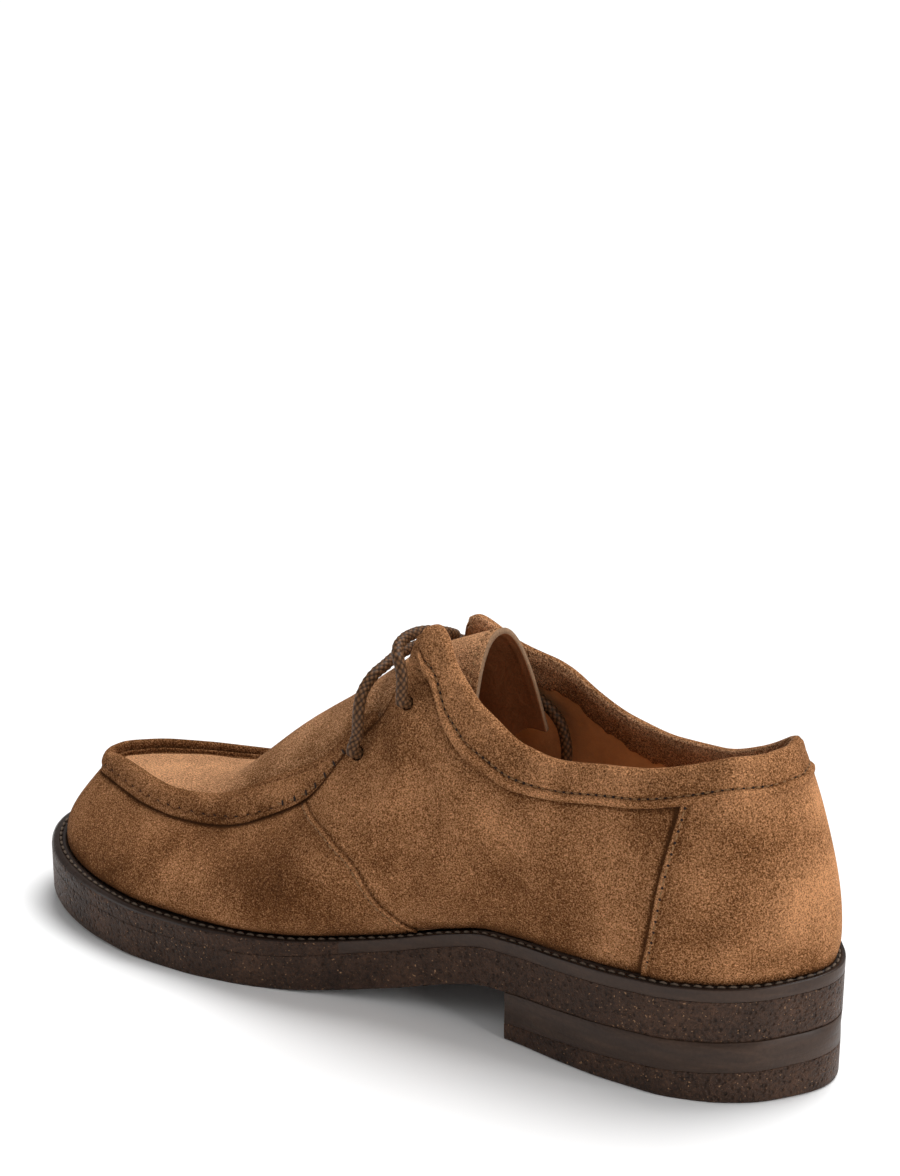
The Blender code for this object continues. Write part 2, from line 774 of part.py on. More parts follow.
def apron_seam():
    """Thick raised seam where the apron meets the vamp, from the medial throat round the toe."""
    sections = []
    above = np.array([0.0, 0.0, 1.0])
    for turn in turns_ahead(SEAM_SIZE[0][0]):
        own = float(side_of(turn)[0])
        wide = SEAM_WIDTH * float(smooth(SEAM_SIZE, 1, share_at(own)))
        thick = SEAM_THICK * float(smooth(SEAM_SIZE, 2, share_at(own)))
        foot, normal, up = (value[0] for value in wall_frame(np.array([turn]), np.ones(1)))
        line = wall(np.array([turn + TURN_STEP, turn - TURN_STEP]), np.ones(2))
        along = line[0] - line[1]
        inward = np.array([along[1], -along[0], 0.0]) / math.hypot(along[0], along[1])
        section = [foot - up * thick * SEAM_LAP + normal * 1.5 * GAP, foot + (normal + above) * GAP]
        for share in SEAM_BASE:
            section.append(apron_under(foot + inward * wide * share) + above * 2 * GAP)
        for share, height in SEAM_TOP:
            section.append(apron_under(foot + inward * wide * share) + above * thick * height)
        sections.append(np.array(section))
    return bar("apron_seam", sections)


def tongue_piece():
    """Tongue from behind the apron, under the lacing, to the mouth of the shoe."""
    front = float(smooth(by_turn(WALL_MEDIAL), 1, turn_at(THROAT))) - 4 * GAP / LENGTH
    rows = []
    for share in np.linspace(front, TONGUE[0][0], TONGUE_LINES):
        rows.append(np.array([tongue(share, across) for across in np.linspace(-1.0, 1.0, TONGUE_COLUMNS)]))
    return sheet("tongue", rows, TONGUE_WALL, outwards=False)


# The lace

def route(rows):
    """Points of a lace route."""
    return [np.array([x_of(row[0]), row[1] * HALF_BALL, welt_top(row[0]) + row[2] * UPPER_RISE]) for row in rows]


def lace_bar(name, place_on_wall, crossing):
    """Lace from the medial eyelet over the tongue to the lateral one."""
    near, near_out = eyelet(place_on_wall, -1)
    far, far_out = eyelet(place_on_wall, 1)
    starts = [near + near_out * LACE_CLEAR, near + near_out * LACE_STUB]
    ends = [far + far_out * LACE_STUB, far + far_out * LACE_CLEAR]
    return cord(name, [*starts, *route(crossing), *ends], LACE_WIDTH)


def lace_end():
    """Loose end that hangs inside the lateral quarter, from the upper eyelet to its tip."""
    far, out = eyelet(UPPER_EYELET, 1)
    start = far - out * (UPPER_WALL + 2 * LACE_CLEAR)
    return cord("lace_end", [start, *route(INNER_END)], LACE_WIDTH)


def lace_tip():
    """Stiff tip of the loose end."""
    before, last = (Vector(point) for point in route(INNER_END)[-2:])
    down = (last - before).normalized()
    start = last + down * GAP
    bpy.ops.mesh.primitive_cylinder_add(vertices=CORD_SIDES, radius=LACE_TIP_WIDTH / 2, depth=LACE_TIP_LENGTH)
    tip = bpy.context.object
    tip.name = "lace_tip"
    tip.location = start + down * LACE_TIP_LENGTH / 2
    tip.rotation_mode = "QUATERNION"
    tip.rotation_quaternion = down.to_track_quat("Z", "Y")
    for owner in list(tip.users_collection):
        owner.objects.unlink(tip)
    return tip


def main():
    clear_scene()
    shoe = collection("suede_shoe")
    cutters = collection("cutters")
    ring = edge(np.linspace(0.0, 2 * math.pi, OUTLINE_SAMPLES))
    centre = bpy.data.objects.new("shoe_centre", None)
    centre.location = (0.0, -(ring[:, 1].max() + ring[:, 1].min()) / 2, 0.0)
    shoe.objects.link(centre)

    suede, pitted, smooth_edge, lining, waxed = (finish(*look) for look in FINISHES)

    add_eyelet_punches(cutters, centre)
    shell = upper()
    punch_eyelets(shell, cutters)
    for obj, material in (
        (outsole(), pitted),
        (welt(), smooth_edge),
        (heel_lift(), smooth_edge),
        (heel_top_piece(), pitted),
        (insole(), lining),
        (shell, suede),
        (apron_seam(), suede),
        (tongue_piece(), suede),
        (heel_counter(), suede),
        (collar_band(), suede),
        (lace_bar("lace_bar_lower", LOWER_EYELET, LOWER_CROSSING), waxed),
        (lace_bar("lace_bar_upper", UPPER_EYELET, UPPER_CROSSING), waxed),
        (lace_end(), waxed),
        (lace_tip(), waxed),
    ):
        place(obj, shoe, centre, material)


main()
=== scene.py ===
import math

import bpy
import numpy as np
from bpy.props import FloatProperty, FloatVectorProperty, PointerProperty
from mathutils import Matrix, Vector


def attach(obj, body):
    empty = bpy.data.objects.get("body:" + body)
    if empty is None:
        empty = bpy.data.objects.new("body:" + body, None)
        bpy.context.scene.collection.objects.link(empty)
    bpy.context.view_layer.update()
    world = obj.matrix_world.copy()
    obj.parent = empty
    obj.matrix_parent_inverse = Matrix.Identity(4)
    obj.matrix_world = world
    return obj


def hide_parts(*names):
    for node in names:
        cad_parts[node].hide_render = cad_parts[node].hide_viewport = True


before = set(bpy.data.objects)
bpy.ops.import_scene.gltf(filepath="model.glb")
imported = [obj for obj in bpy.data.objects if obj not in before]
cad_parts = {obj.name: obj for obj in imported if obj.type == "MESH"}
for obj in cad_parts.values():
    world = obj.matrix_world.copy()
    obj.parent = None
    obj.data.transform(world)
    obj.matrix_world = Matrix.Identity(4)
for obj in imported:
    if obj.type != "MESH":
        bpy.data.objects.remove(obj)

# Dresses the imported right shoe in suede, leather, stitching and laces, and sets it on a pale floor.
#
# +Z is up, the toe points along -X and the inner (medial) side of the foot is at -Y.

bl_info = {
    "name": "Suede apron shoe",
    "version": (1, 0, 0),
    "blender": (4, 5, 0),
    "location": "3D View > Sidebar > Shoe",
    "description": "Makes the suede, lining, sole finishes, laces and stitching of a low apron shoe",
    "category": "Object",
}

# Driving sizes of the last and the sole
LENGTH = 0.302
BALL_WIDTH = 0.102
UPPER_RISE = 0.097
TOE_SPRING = 0.005
HEEL_PITCH = 0.0167
HEEL_BACK_PITCH = 0.0222
HEEL_LENGTH_MEDIAL = 0.101
HEEL_LENGTH_LATERAL = 0.093

# Thicknesses
SOLE_THICK = 0.0182
TOP_PIECE_FRONT = 0.0058
TOP_PIECE_BACK = 0.0119
UPPER_WALL = 0.0019
TONGUE_WALL = 0.0024
GAP = 0.0003

# Trim
WELT_STRIP = 0.012
WELT_EDGE = 0.0064
WELT_LEDGE = 0.0056
SOLE_EDGE = 0.0008
BAND_OUTSIDE = 0.0105
BAND_INSIDE = 0.012
SEAM_WIDTH = 0.0078
SEAM_THICK = 0.0050
EYELET_BORE = 0.0050
LACE_WIDTH = 0.0037
LACE_CLEAR = 0.0006
LACE_STUB = 0.0026

HALF_BALL = BALL_WIDTH / 2

# Plan of the sole: share of the length from the heel, then the centre line and the two half widths,
# as shares of half the ball width
SOLE_OUTLINE = (
    # share, centre, medial, lateral
    (0.000, 0.000, 0.000, 0.000),
    (0.020, 0.000, 0.300, 0.300),
    (0.050, 0.000, 0.510, 0.510),
    (0.100, 0.000, 0.672, 0.672),
    (0.150, 0.000, 0.733, 0.733),
    (0.200, 0.000, 0.730, 0.741),
    (0.260, 0.000, 0.690, 0.745),
    (0.330, 0.000, 0.620, 0.741),
    (0.400, 0.000, 0.592, 0.761),
    (0.500, 0.000, 0.668, 0.843),
    (0.600, 0.000, 0.835, 0.961),
    (0.660, 0.000, 0.929, 1.012),
    (0.720, 0.000, 0.972, 1.027),
    (0.780, -0.005, 0.963, 1.000),
    (0.840, -0.015, 0.890, 0.925),
    (0.900, -0.030, 0.750, 0.780),
    (0.950, -0.040, 0.555, 0.550),
    (0.980, -0.040, 0.355, 0.345),
    (1.000, -0.040, 0.000, 0.000),
)

# Underside of the outsole: the heel's seat ends just ahead of its breast, and the ball lies flat from
# BALL_START to BALL_END. Share of the way from seat to ball or from ball to toe, share of the rise.
SEAT_AHEAD = 0.008
SEAT_END = HEEL_LENGTH_MEDIAL / LENGTH + SEAT_AHEAD
BALL_START = 0.63
BALL_END = 0.76
WAIST_RISE = ((0.00, 1.00), (0.06, 0.985), (0.23, 0.77), (0.46, 0.42), (0.70, 0.15), (0.90, 0.02),
              (1.00, 0.00))
TOE_RISE = ((0.00, 0.00), (0.42, 0.20), (0.75, 0.60), (1.00, 1.00))

# Depth of the welt's edge and how far its top edge is rounded off, as shares of WELT_EDGE
WELT_THICK = ((0.00, 0.69), (0.50, 0.72), (0.66, 1.00), (1.00, 1.00))
WELT_ROUND = ((0.00, 0.08), (0.50, 0.10), (0.70, 0.25), (0.85, 0.36), (1.00, 0.40))

# Width of the welt that shows round the upper: share of the length, share of WELT_LEDGE
LEDGE = ((0.00, 0.59), (0.20, 0.54), (0.40, 0.46), (0.60, 0.64), (0.75, 0.89), (1.00, 1.00))

# Each line of the upper's wall: share of the length at the welt and at the top line, half width and rise
# of the top line, and how far the wall swells out between them.
# Half width and swell are shares of half the ball width, and the rise is a share of UPPER_RISE.
WALL_MEDIAL = (
    # foot share, top share, half width, rise, swell
    (0.000, 0.0660, 0.000, 0.6930, 0.085),
    (0.030, 0.0750, 0.200, 0.7000, 0.085),
    (0.080, 0.0980, 0.392, 0.7130, 0.090),
    (0.140, 0.1420, 0.480, 0.6830, 0.090),
    (0.190, 0.1880, 0.530, 0.6580, 0.085),
    (0.235, 0.2300, 0.549, 0.6520, 0.090),
    (0.280, 0.2760, 0.559, 0.6430, 0.110),
    (0.330, 0.3220, 0.549, 0.6700, 0.140),
    (0.385, 0.3750, 0.500, 0.7700, 0.190),
    (0.425, 0.4180, 0.402, 0.8980, 0.230),
    (0.455, 0.4570, 0.285, 1.0380, 0.250),
    (0.470, 0.4780, 0.300, 1.0130, 0.255),
    (0.485, 0.4880, 0.333, 0.9240, 0.255),
    (0.500, 0.4990, 0.373, 0.8400, 0.255),
    (0.520, 0.5100, 0.422, 0.7730, 0.250),
    (0.545, 0.5390, 0.490, 0.6800, 0.240),
    (0.600, 0.5890, 0.569, 0.4890, 0.210),
    (0.650, 0.6420, 0.580, 0.3880, 0.185),
    (0.700, 0.6880, 0.570, 0.3180, 0.150),
    (0.750, 0.7370, 0.532, 0.2790, 0.125),
    (0.800, 0.7830, 0.512, 0.2655, 0.105),
    (0.850, 0.8290, 0.443, 0.2570, 0.082),
    (0.900, 0.8730, 0.334, 0.2465, 0.062),
    (0.950, 0.9120, 0.222, 0.2330, 0.050),
    (0.980, 0.9340, 0.150, 0.2225, 0.045),
    (1.000, 0.9437, 0.000, 0.2165, 0.045),
)
WALL_LATERAL = (
    # foot share, top share, half width, rise, swell
    (0.000, 0.0660, 0.000, 0.6930, 0.085),
    (0.030, 0.0750, 0.200, 0.6880, 0.085),
    (0.080, 0.0940, 0.350, 0.6600, 0.090),
    (0.140, 0.1380, 0.450, 0.5880, 0.090),
    (0.190, 0.1860, 0.510, 0.5480, 0.085),
    (0.235, 0.2370, 0.530, 0.5530, 0.090),
    (0.280, 0.2900, 0.549, 0.5880, 0.100),
    (0.330, 0.3360, 0.549, 0.6560, 0.130),
    (0.385, 0.3820, 0.510, 0.7680, 0.170),
    (0.425, 0.4240, 0.431, 0.8580, 0.200),
    (0.455, 0.4630, 0.285, 0.9850, 0.220),
    (0.470, 0.4800, 0.300, 0.9650, 0.230),
    (0.485, 0.4880, 0.333, 0.9040, 0.230),
    (0.500, 0.4990, 0.373, 0.8300, 0.230),
    (0.520, 0.5100, 0.422, 0.7730, 0.225),
    (0.545, 0.5390, 0.490, 0.6800, 0.220),
    (0.600, 0.5890, 0.569, 0.4890, 0.200),
    (0.650, 0.6420, 0.580, 0.3880, 0.185),
    (0.700, 0.6880, 0.570, 0.3180, 0.155),
    (0.750, 0.7370, 0.532, 0.2790, 0.130),
    (0.800, 0.7830, 0.512, 0.2655, 0.110),
    (0.850, 0.8290, 0.443, 0.2570, 0.085),
    (0.900, 0.8730, 0.334, 0.2465, 0.062),
    (0.950, 0.9120, 0.222, 0.2330, 0.050),
    (0.980, 0.9340, 0.150, 0.2225, 0.045),
    (1.000, 0.9437, 0.000, 0.2165, 0.045),
)

# Below 1 this sets the wall's widest place nearer to the welt
SWELL_POWER = 0.8

# Crest of the apron and the tongue: share of the length, height above the welt as a share of UPPER_RISE,
# and how square the rise from the top line to it is
CREST = (
    # share, height, squareness
    (0.4000, 0.9773, 2.20),
    (0.4375, 0.9684, 2.20),
    (0.4840, 0.9452, 2.20),
    (0.5000, 0.9342, 2.20),
    (0.5400, 0.8667, 2.20),
    (0.6080, 0.7280, 2.20),
    (0.6640, 0.5964, 2.25),
    (0.7070, 0.4804, 2.40),
    (0.7300, 0.4184, 2.70),
    (0.7600, 0.3684, 3.20),
    (0.8000, 0.3347, 3.70),
    (0.8400, 0.3208, 4.00),
    (0.8800, 0.3054, 4.00),
    (0.9150, 0.2756, 4.00),
    (0.9320, 0.2560, 3.60),
    (0.9437, 0.2375, 3.00),
)
THROAT = 0.585

# Tongue: share of the length, half widths of its two sides and the drop from its crest to its edges,
# as shares of half the ball width and of UPPER_RISE
TONGUE = (
    # share, medial, lateral, drop
    (0.410, 0.490, 0.470, 0.420),
    (0.430, 0.505, 0.450, 0.395),
    (0.455, 0.540, 0.445, 0.430),
    (0.487, 0.585, 0.475, 0.465),
    (0.520, 0.600, 0.570, 0.450),
    (0.550, 0.600, 0.600, 0.425),
    (0.566, 0.555, 0.555, 0.370),
    (0.586, 0.500, 0.500, 0.240),
)
TONGUE_DOME = 2.3
TONGUE_LEAN = 0.005

# Shares of the length between which the tongue runs over into the apron, and where the apron's rows start to
# crowd towards the tip of the toe
TONGUE_BLEND = (0.512, 0.560)
CROWD_FROM = 0.62
TOE_TIP = CREST[-1][0]

# Collar band: share of the length at the welt, outside width as a share of BAND_OUTSIDE
BAND_SPREAD = ((0.00, 1.00), (0.28, 1.05), (0.33, 1.25), (0.385, 1.50), (0.43, 1.60), (0.455, 1.40),
               (0.464, 0.70))

# Eyelets: share of the length, height on the wall
UPPER_EYELET = (0.469, 0.803)
LOWER_EYELET = (0.538, 0.930)

# Step along the outline over which its direction is read
TURN_STEP = 1e-3

# Routes of the lace between the points where it leaves the eyelets: share of the length, distance across
# as a share of half the ball width, height above the welt as a share of UPPER_RISE
LOWER_CROSSING = (
    # share, across, above
    (0.5275, -0.541, 0.7240),
    (0.5265, -0.539, 0.7811),
    (0.5281, -0.500, 0.8347),
    (0.5298, -0.431, 0.8676),
    (0.5278, -0.333, 0.9005),
    (0.5262, -0.235, 0.9129),
    (0.5268, -0.127, 0.9226),
    (0.5275, -0.010, 0.9250),
    (0.5275, 0.108, 0.9219),
    (0.5275, 0.225, 0.9085),
    (0.5275, 0.333, 0.8807),
    (0.5275, 0.431, 0.8374),
    (0.5272, 0.498, 0.7826),
    (0.5272, 0.529, 0.7259),
)
UPPER_CROSSING = (
    # share, across, above
    (0.4735, -0.514, 0.8927),
    (0.4755, -0.504, 0.9283),
    (0.4831, -0.471, 0.9723),
    (0.4894, -0.422, 0.9926),
    (0.4937, -0.357, 1.0071),
    (0.4954, -0.265, 1.0145),
    (0.4937, -0.180, 1.0143),
    (0.4904, -0.088, 1.0057),
    (0.4868, 0.000, 0.9905),
    (0.4854, 0.098, 0.9710),
    (0.4881, 0.216, 0.9452),
    (0.4980, 0.314, 0.9268),
    (0.5030, 0.392, 0.9057),
    (0.4980, 0.467, 0.8773),
    (0.4841, 0.502, 0.8401),
)
INNER_END = (
    # share, across, above
    (0.4609, 0.369, 0.7749),
    (0.4470, 0.408, 0.7413),
    (0.4272, 0.475, 0.6882),
    (0.4040, 0.539, 0.6192),
    (0.3848, 0.559, 0.5243),
    (0.3781, 0.549, 0.4260),
    (0.3834, 0.525, 0.3376),
)

# The photograph's view: turn and rise of the camera round its target, distance, lens in mm and shift
VIEW_TURN = math.radians(32.883)
VIEW_RISE = math.radians(24.134)
VIEW_TARGET = (0.0010, -0.0014, 0.0450)
VIEW_DISTANCE = 0.955994
VIEW_LENS = 88.276
VIEW_SHIFT = (0.0180, 0.2177)

# Soft studio lights: name, place, what it looks at, width and height, power
LIGHTS = (
    ("left_softbox", (-1.30, -0.90, 0.80), (0.0, 0.0, 0.05), (1.0, 1.0), 5.0),
    ("right_softbox", (1.50, -0.10, 0.60), (0.05, 0.0, 0.05), (0.9, 0.9), 13.5),
)
# Wide overhead light: where it comes from, its strength and its angle, and the light of the room
OVERHEAD_FROM = (0.05, 0.42, 1.0)
OVERHEAD_LIGHT = 2.95
OVERHEAD_ANGLE = math.radians(38)
WORLD_LIGHT = 0.28

# Welt: where its strip is joined as a share of the length, its lower corner as inset and rise, and its top
# as a share of the ledge and the dip there, from the edge over the stitches' groove to under the upper
WELT_JOINT = 0.5364
WELT_CORNER = ((WELT_STRIP, 0.0), (0.0005, 0.0), (0.0001, 0.0001), (0.0, 0.0003))
WELT_ROUND_ROWS = 7
WELT_GROOVE = 0.00035
WELT_TUCK = 0.0006
WELT_FACE = (
    # share, dip
    (0.45, 0.0),
    (0.52, 0.6 * WELT_GROOVE),
    (0.60, WELT_GROOVE),
    (0.68, 0.6 * WELT_GROOVE),
    (0.75, 0.0),
    (0.92, 0.0),
    (1.02, 0.5 * WELT_TUCK),
    (1.15, WELT_TUCK),
)

# Stitches of the welt: their line as a share of the ledge, and how deep they sit
STITCH_LINE = 0.60
STITCH_SINK = 0.00005

# Soft and ragged edges of the sole's layers
SOFT_EDGE = 0.0002
RAGGED_EDGE = 0.0005

# Lace: pitch of its braid, strands each way, depth between them as a share of its radius, points round
# it, and step along its path
BRAID_PITCH = 0.0024
BRAID_STRANDS = 6
BRAID_DEEP = 0.09
LACE_SIDES = 32
LACE_STEP = 0.00022

# Skins: how round their edges are, how far they sink towards the welt and over what height, the thickness
# of counter, band and apron, and the drill for the lace holes
EDGE_ROUND = 0.0006
SEAT_SINK = 0.0007
SEAT_REACH = 0.0035
COUNTER_SKIN = 0.0009
BAND_SKIN = 0.0006
APRON_SKIN = 0.8 * TONGUE_WALL
DRILL_RADIUS = 0.52 * EYELET_BORE
DRILL_DEPTH = 0.012

# Stitches: length, width and rise of one
WELT_STITCH = (0.0027, 0.0009, 0.0003)
VAMP_STITCH = (0.0019, 0.0006, 0.0003)
COUNTER_STITCH = (0.0022, 0.0006, 0.0003)
COLLAR_STITCH = (0.0017, 0.0006, 0.0002)
TONGUE_STITCH = (0.0018, 0.0006, 0.0003)
HAND_STITCH = (0.0020, 0.0006, 0.0002)

# Needle holes and slits: length and width, and how flat they are
VAMP_HOLE = (0.0005, 0.0005)
COUNTER_HOLE = (0.0009, 0.0009)
COLLAR_HOLE = (0.0009, 0.0009)
HAND_SLIT = (0.0021, 0.0009)
HOLE_FLAT = 0.35

# Distance of each row of stitches from its edge, and the pitches that aren't the seam's own
VAMP_ROW = 0.0022
COUNTER_ROW = 0.0030
COUNTER_PITCH = 0.0037
COLLAR_PITCH = 0.0028
TONGUE_ROW = 0.0024


# Reading the tables

def smooth(rows, column, at):
    """Monotone cubic through a table's column, read along its first column."""
    xs = np.array([row[0] for row in rows])
    ys = np.array([row[column] for row in rows])
    step = np.diff(xs)
    slope = np.diff(ys) / step
    tangent = np.zeros(len(xs))
    same = slope[:-1] * slope[1:] > 0
    tangent[1:-1][same] = 2 * slope[:-1][same] * slope[1:][same] / (slope[:-1] + slope[1:])[same]
    tangent[0] = slope[0]
    tangent[-1] = slope[-1]
    at = np.clip(np.asarray(at, float), xs[0], xs[-1])
    k = np.clip(np.searchsorted(xs, at, side="right") - 1, 0, len(xs) - 2)
    t = (at - xs[k]) / step[k]
    start = (1 + 2 * t) * (1 - t) ** 2 * ys[k] + t * (1 - t) ** 2 * step[k] * tangent[k]
    return start + t**2 * (3 - 2 * t) * ys[k + 1] + t**2 * (t - 1) * step[k] * tangent[k + 1]


def turn_at(share):
    """Angle round the outline on its own side: 0 at the heel, pi at the toe."""
    return np.arccos(1 - 2 * np.asarray(share, float))


def share_at(turn):
    return (1 - np.cos(turn)) / 2


def by_turn(rows):
    """The same table with its shares turned into angles, so that both ends come out round."""
    return [(turn_at(row[0]), *row[1:]) for row in rows]


def side_of(turn):
    """The angle folded to 0..pi, and -1 on the medial side or 1 on the lateral one."""
    turn = np.mod(turn, 2 * math.pi)
    medial = turn <= math.pi
    return np.where(medial, turn, 2 * math.pi - turn), np.where(medial, -1.0, 1.0)


def wall_column(column, turn):
    own, side = side_of(turn)
    medial = smooth(by_turn(WALL_MEDIAL), column, own)
    lateral = smooth(by_turn(WALL_LATERAL), column, own)
    return np.where(side < 0, medial, lateral)


def x_of(share):
    return LENGTH * (0.5 - np.asarray(share))


# The form of the sole

def edge(turn):
    """Plan of the sole's edge."""
    own, side = side_of(turn)
    rows = by_turn(SOLE_OUTLINE)
    half = np.where(side < 0, smooth(rows, 2, own), smooth(rows, 3, own))
    return np.stack([x_of(share_at(turn)), (smooth(rows, 1, own) + side * half) * HALF_BALL], -1)


def outward(turn):
    """Level unit vectors that point out of the sole's edge."""
    along = edge(turn + TURN_STEP) - edge(turn - TURN_STEP)
    normal = np.stack([-along[:, 1], along[:, 0]], -1)
    return normal / np.linalg.norm(normal, axis=1)[:, None]


def outline(turn, inset):
    return edge(turn) - np.broadcast_to(inset, len(turn))[:, None] * outward(turn)


def underside(share):
    """Height of the outsole's underside, which is also the seat of the heel."""
    share = np.asarray(share, float)
    seat = HEEL_PITCH + (HEEL_BACK_PITCH - HEEL_PITCH) * (1 - share / SEAT_END)
    waist = HEEL_PITCH * smooth(WAIST_RISE, 1, (share - SEAT_END) / (BALL_START - SEAT_END))
    toe = TOE_SPRING * smooth(TOE_RISE, 1, (share - BALL_END) / (1 - BALL_END))
    return np.where(share < SEAT_END, seat, waist + toe)


def welt_top(share):
    return underside(share) + SOLE_THICK


def outsole_top(share):
    return welt_top(share) - smooth(WELT_THICK, 1, share) * WELT_EDGE - GAP


def welt_floor(share):
    return outsole_top(share) + GAP


def upper_floor(share):
    return welt_top(share) + GAP


def level(turn, inset, height_of):
    """Points round the sole at an inset, each at the height that belongs to its place along the shoe."""
    plan = outline(turn, inset)
    return np.column_stack([plan, height_of(0.5 - plan[:, 0] / LENGTH)])


def top_piece_top(share):
    return TOP_PIECE_FRONT + (TOP_PIECE_BACK - TOP_PIECE_FRONT) * (1 - np.asarray(share) / SEAT_END)


def ledge(turn):
    return smooth(LEDGE, 1, share_at(turn)) * WELT_LEDGE


# The form of the upper

def wall(turn, height):
    """Outer face of the upper's wall, from 0 at the welt to 1 at the top line."""
    foot = level(turn, ledge(turn), upper_floor)
    side = side_of(turn)[1]
    top = np.column_stack([
        x_of(wall_column(1, turn)),
        side * wall_column(2, turn) * HALF_BALL,
        welt_top(share_at(turn)) + wall_column(3, turn) * UPPER_RISE,
    ])
    swell = wall_column(4, turn) * HALF_BALL * np.sin(math.pi * np.power(height, SWELL_POWER))
    out = np.column_stack([outward(turn), np.zeros(len(turn))])
    return foot + (top - foot) * np.asarray(height)[:, None] + out * swell[:, None]


def wall_frame(turn, height):
    """A point of the wall with its outward normal and its upward direction."""
    here = wall(turn, height)
    low = np.maximum(height - TURN_STEP, 0.0)
    up = wall(turn, np.minimum(height + TURN_STEP, 1.0)) - wall(turn, low)
    along = wall(turn + TURN_STEP, height) - wall(turn - TURN_STEP, height)
    normal = np.cross(up, along)
    normal /= np.linalg.norm(normal, axis=1)[:, None]
    return here, normal, up / np.linalg.norm(up, axis=1)[:, None]


def crest(share):
    return welt_top(share) + smooth(CREST, 1, share) * UPPER_RISE


def route(rows):
    """Points of a lace route."""
    return [np.array([x_of(share), across * HALF_BALL, welt_top(share) + above * UPPER_RISE])
            for share, across, above in rows]


def under_top_line(across_plan):
    """Places of the apron under plan points: the angle of their line and how far across they lie."""
    turns = np.linspace(float(turn_at(0.50)), math.pi, 600)
    top = wall(turns, np.ones(600))
    own = np.interp(-across_plan[:, 0], -top[:, 0], turns)
    half = np.interp(-across_plan[:, 0], -top[:, 0], -top[:, 1])
    return own, np.clip(across_plan[:, 1] / np.maximum(half, GAP), -1.0, 1.0)


def apron(turn, across):
    """Top of the toe between the two top lines, across from -1 (medial) to 1 (lateral)."""
    medial = wall(turn, np.ones(len(turn)))
    lateral = wall(2 * math.pi - turn, np.ones(len(turn)))
    line = medial + (lateral - medial) * ((across + 1) / 2)[:, None]
    share = 0.5 - line[:, 0] / LENGTH
    dome = (crest(share) - line[:, 2]) * (1 - np.abs(across) ** smooth(CREST, 2, share))
    return line + dome[:, None] * np.array([0.0, 0.0, 1.0])


def tongue(share, across):
    """Outer face of the tongue, across from -1 (medial) to 1 (lateral)."""
    half = np.where(across < 0, smooth(TONGUE, 1, share), smooth(TONGUE, 2, share)) * HALF_BALL
    drop = smooth(TONGUE, 3, share) * UPPER_RISE * np.abs(across) ** TONGUE_DOME
    lean = TONGUE_LEAN * across**2 * (THROAT - share) / (THROAT - TONGUE[0][0])
    return np.column_stack([x_of(share) + lean, across * half, crest(share) - drop])


def rise_of(turn):
    """Height of the top line over the welt."""
    return wall_column(3, turn) * UPPER_RISE


def ease(start, end, at):
    """Smooth step from 0 at the start to 1 at the end."""
    t = np.clip((at - start) / (end - start), 0.0, 1.0)
    return t * t * (3 - 2 * t)


def bump_at(at, centre, width):
    """Soft bump of height 1."""
    return np.exp(-((at - centre) / width) ** 2)


def bumps(at, rows):
    """Sum of soft bumps, each given by its height, centre and width."""
    return sum(amount * bump_at(at, centre, width) for amount, centre, width in rows)


def run(points):
    """Length along a row of points from its start."""
    steps = np.linalg.norm(np.diff(points, axis=-2), axis=-1)
    return np.concatenate([np.zeros((*steps.shape[:-1], 1)), np.cumsum(steps, axis=-1)], axis=-1)


def evenly(values, points, pitch):
    """The values at even distances along their points."""
    length = run(points)
    count = max(2, int(round(length[-1] / pitch)))
    return np.interp(np.linspace(0.0, length[-1], count + 1), length, values)


RING = edge(np.linspace(0.0, 2 * math.pi, 2001))
CENTRE = np.array([0.0, -(RING[:, 1].max() + RING[:, 1].min()) / 2, 0.0])


# Making and finishing meshes

def free_hands():
    """Leaves edit mode and deselects everything."""
    if bpy.context.object and bpy.context.object.mode != "OBJECT":
        bpy.ops.object.mode_set(mode="OBJECT")
    bpy.ops.object.select_all(action="DESELECT")


def only(obj):
    free_hands()
    obj.select_set(True)
    bpy.context.view_layer.objects.active = obj


def sew(obj, outward=True, near=2e-6):
    """Merges the points that lie together and turns the faces out."""
    only(obj)
    bpy.ops.object.mode_set(mode="EDIT")
    bpy.ops.mesh.select_all(action="SELECT")
    bpy.ops.mesh.remove_doubles(threshold=near)
    if outward:
        bpy.ops.mesh.normals_make_consistent(inside=False)
    bpy.ops.object.mode_set(mode="OBJECT")
    bpy.ops.object.shade_smooth()


def lay_grid(name, points, rings=None):
    """Grid primitive whose points are moved to the rows given, with its lengths as UV in metres.

    The faces look along column direction x row direction. rings gives the material number
    of each row, or of each face.
    """
    rows, columns = points.shape[:2]
    free_hands()
    bpy.ops.mesh.primitive_grid_add(x_subdivisions=columns - 1, y_subdivisions=rows - 1, size=1.0,
                                    calc_uvs=True)
    obj = bpy.context.object
    obj.name = name
    mesh = obj.data
    mesh.name = name
    if len(mesh.vertices) != rows * columns:
        raise RuntimeError(f"{name}: the grid has {len(mesh.vertices)} points and not {rows * columns}")
    mesh.vertices.foreach_set("co", (points + CENTRE).reshape(-1).astype(np.float32))
    middle = points[rows // 2]
    u = np.broadcast_to(run(middle)[None, :], (rows, columns))
    v = np.broadcast_to(run(points[:, columns // 2])[:, None], (rows, columns))
    corner = np.zeros(len(mesh.loops), np.int32)
    mesh.loops.foreach_get("vertex_index", corner)
    places = np.stack([u, v], -1).reshape(-1, 2)[corner]
    mesh.uv_layers.active.data.foreach_set("uv", places.reshape(-1).astype(np.float32))
    if rings is not None:
        numbers = np.array(rings, np.int32)
        if numbers.ndim == 1:
            numbers = np.repeat(numbers, columns - 1)
        mesh.polygons.foreach_set("material_index", numbers.reshape(-1))
    mesh.update()
    return obj


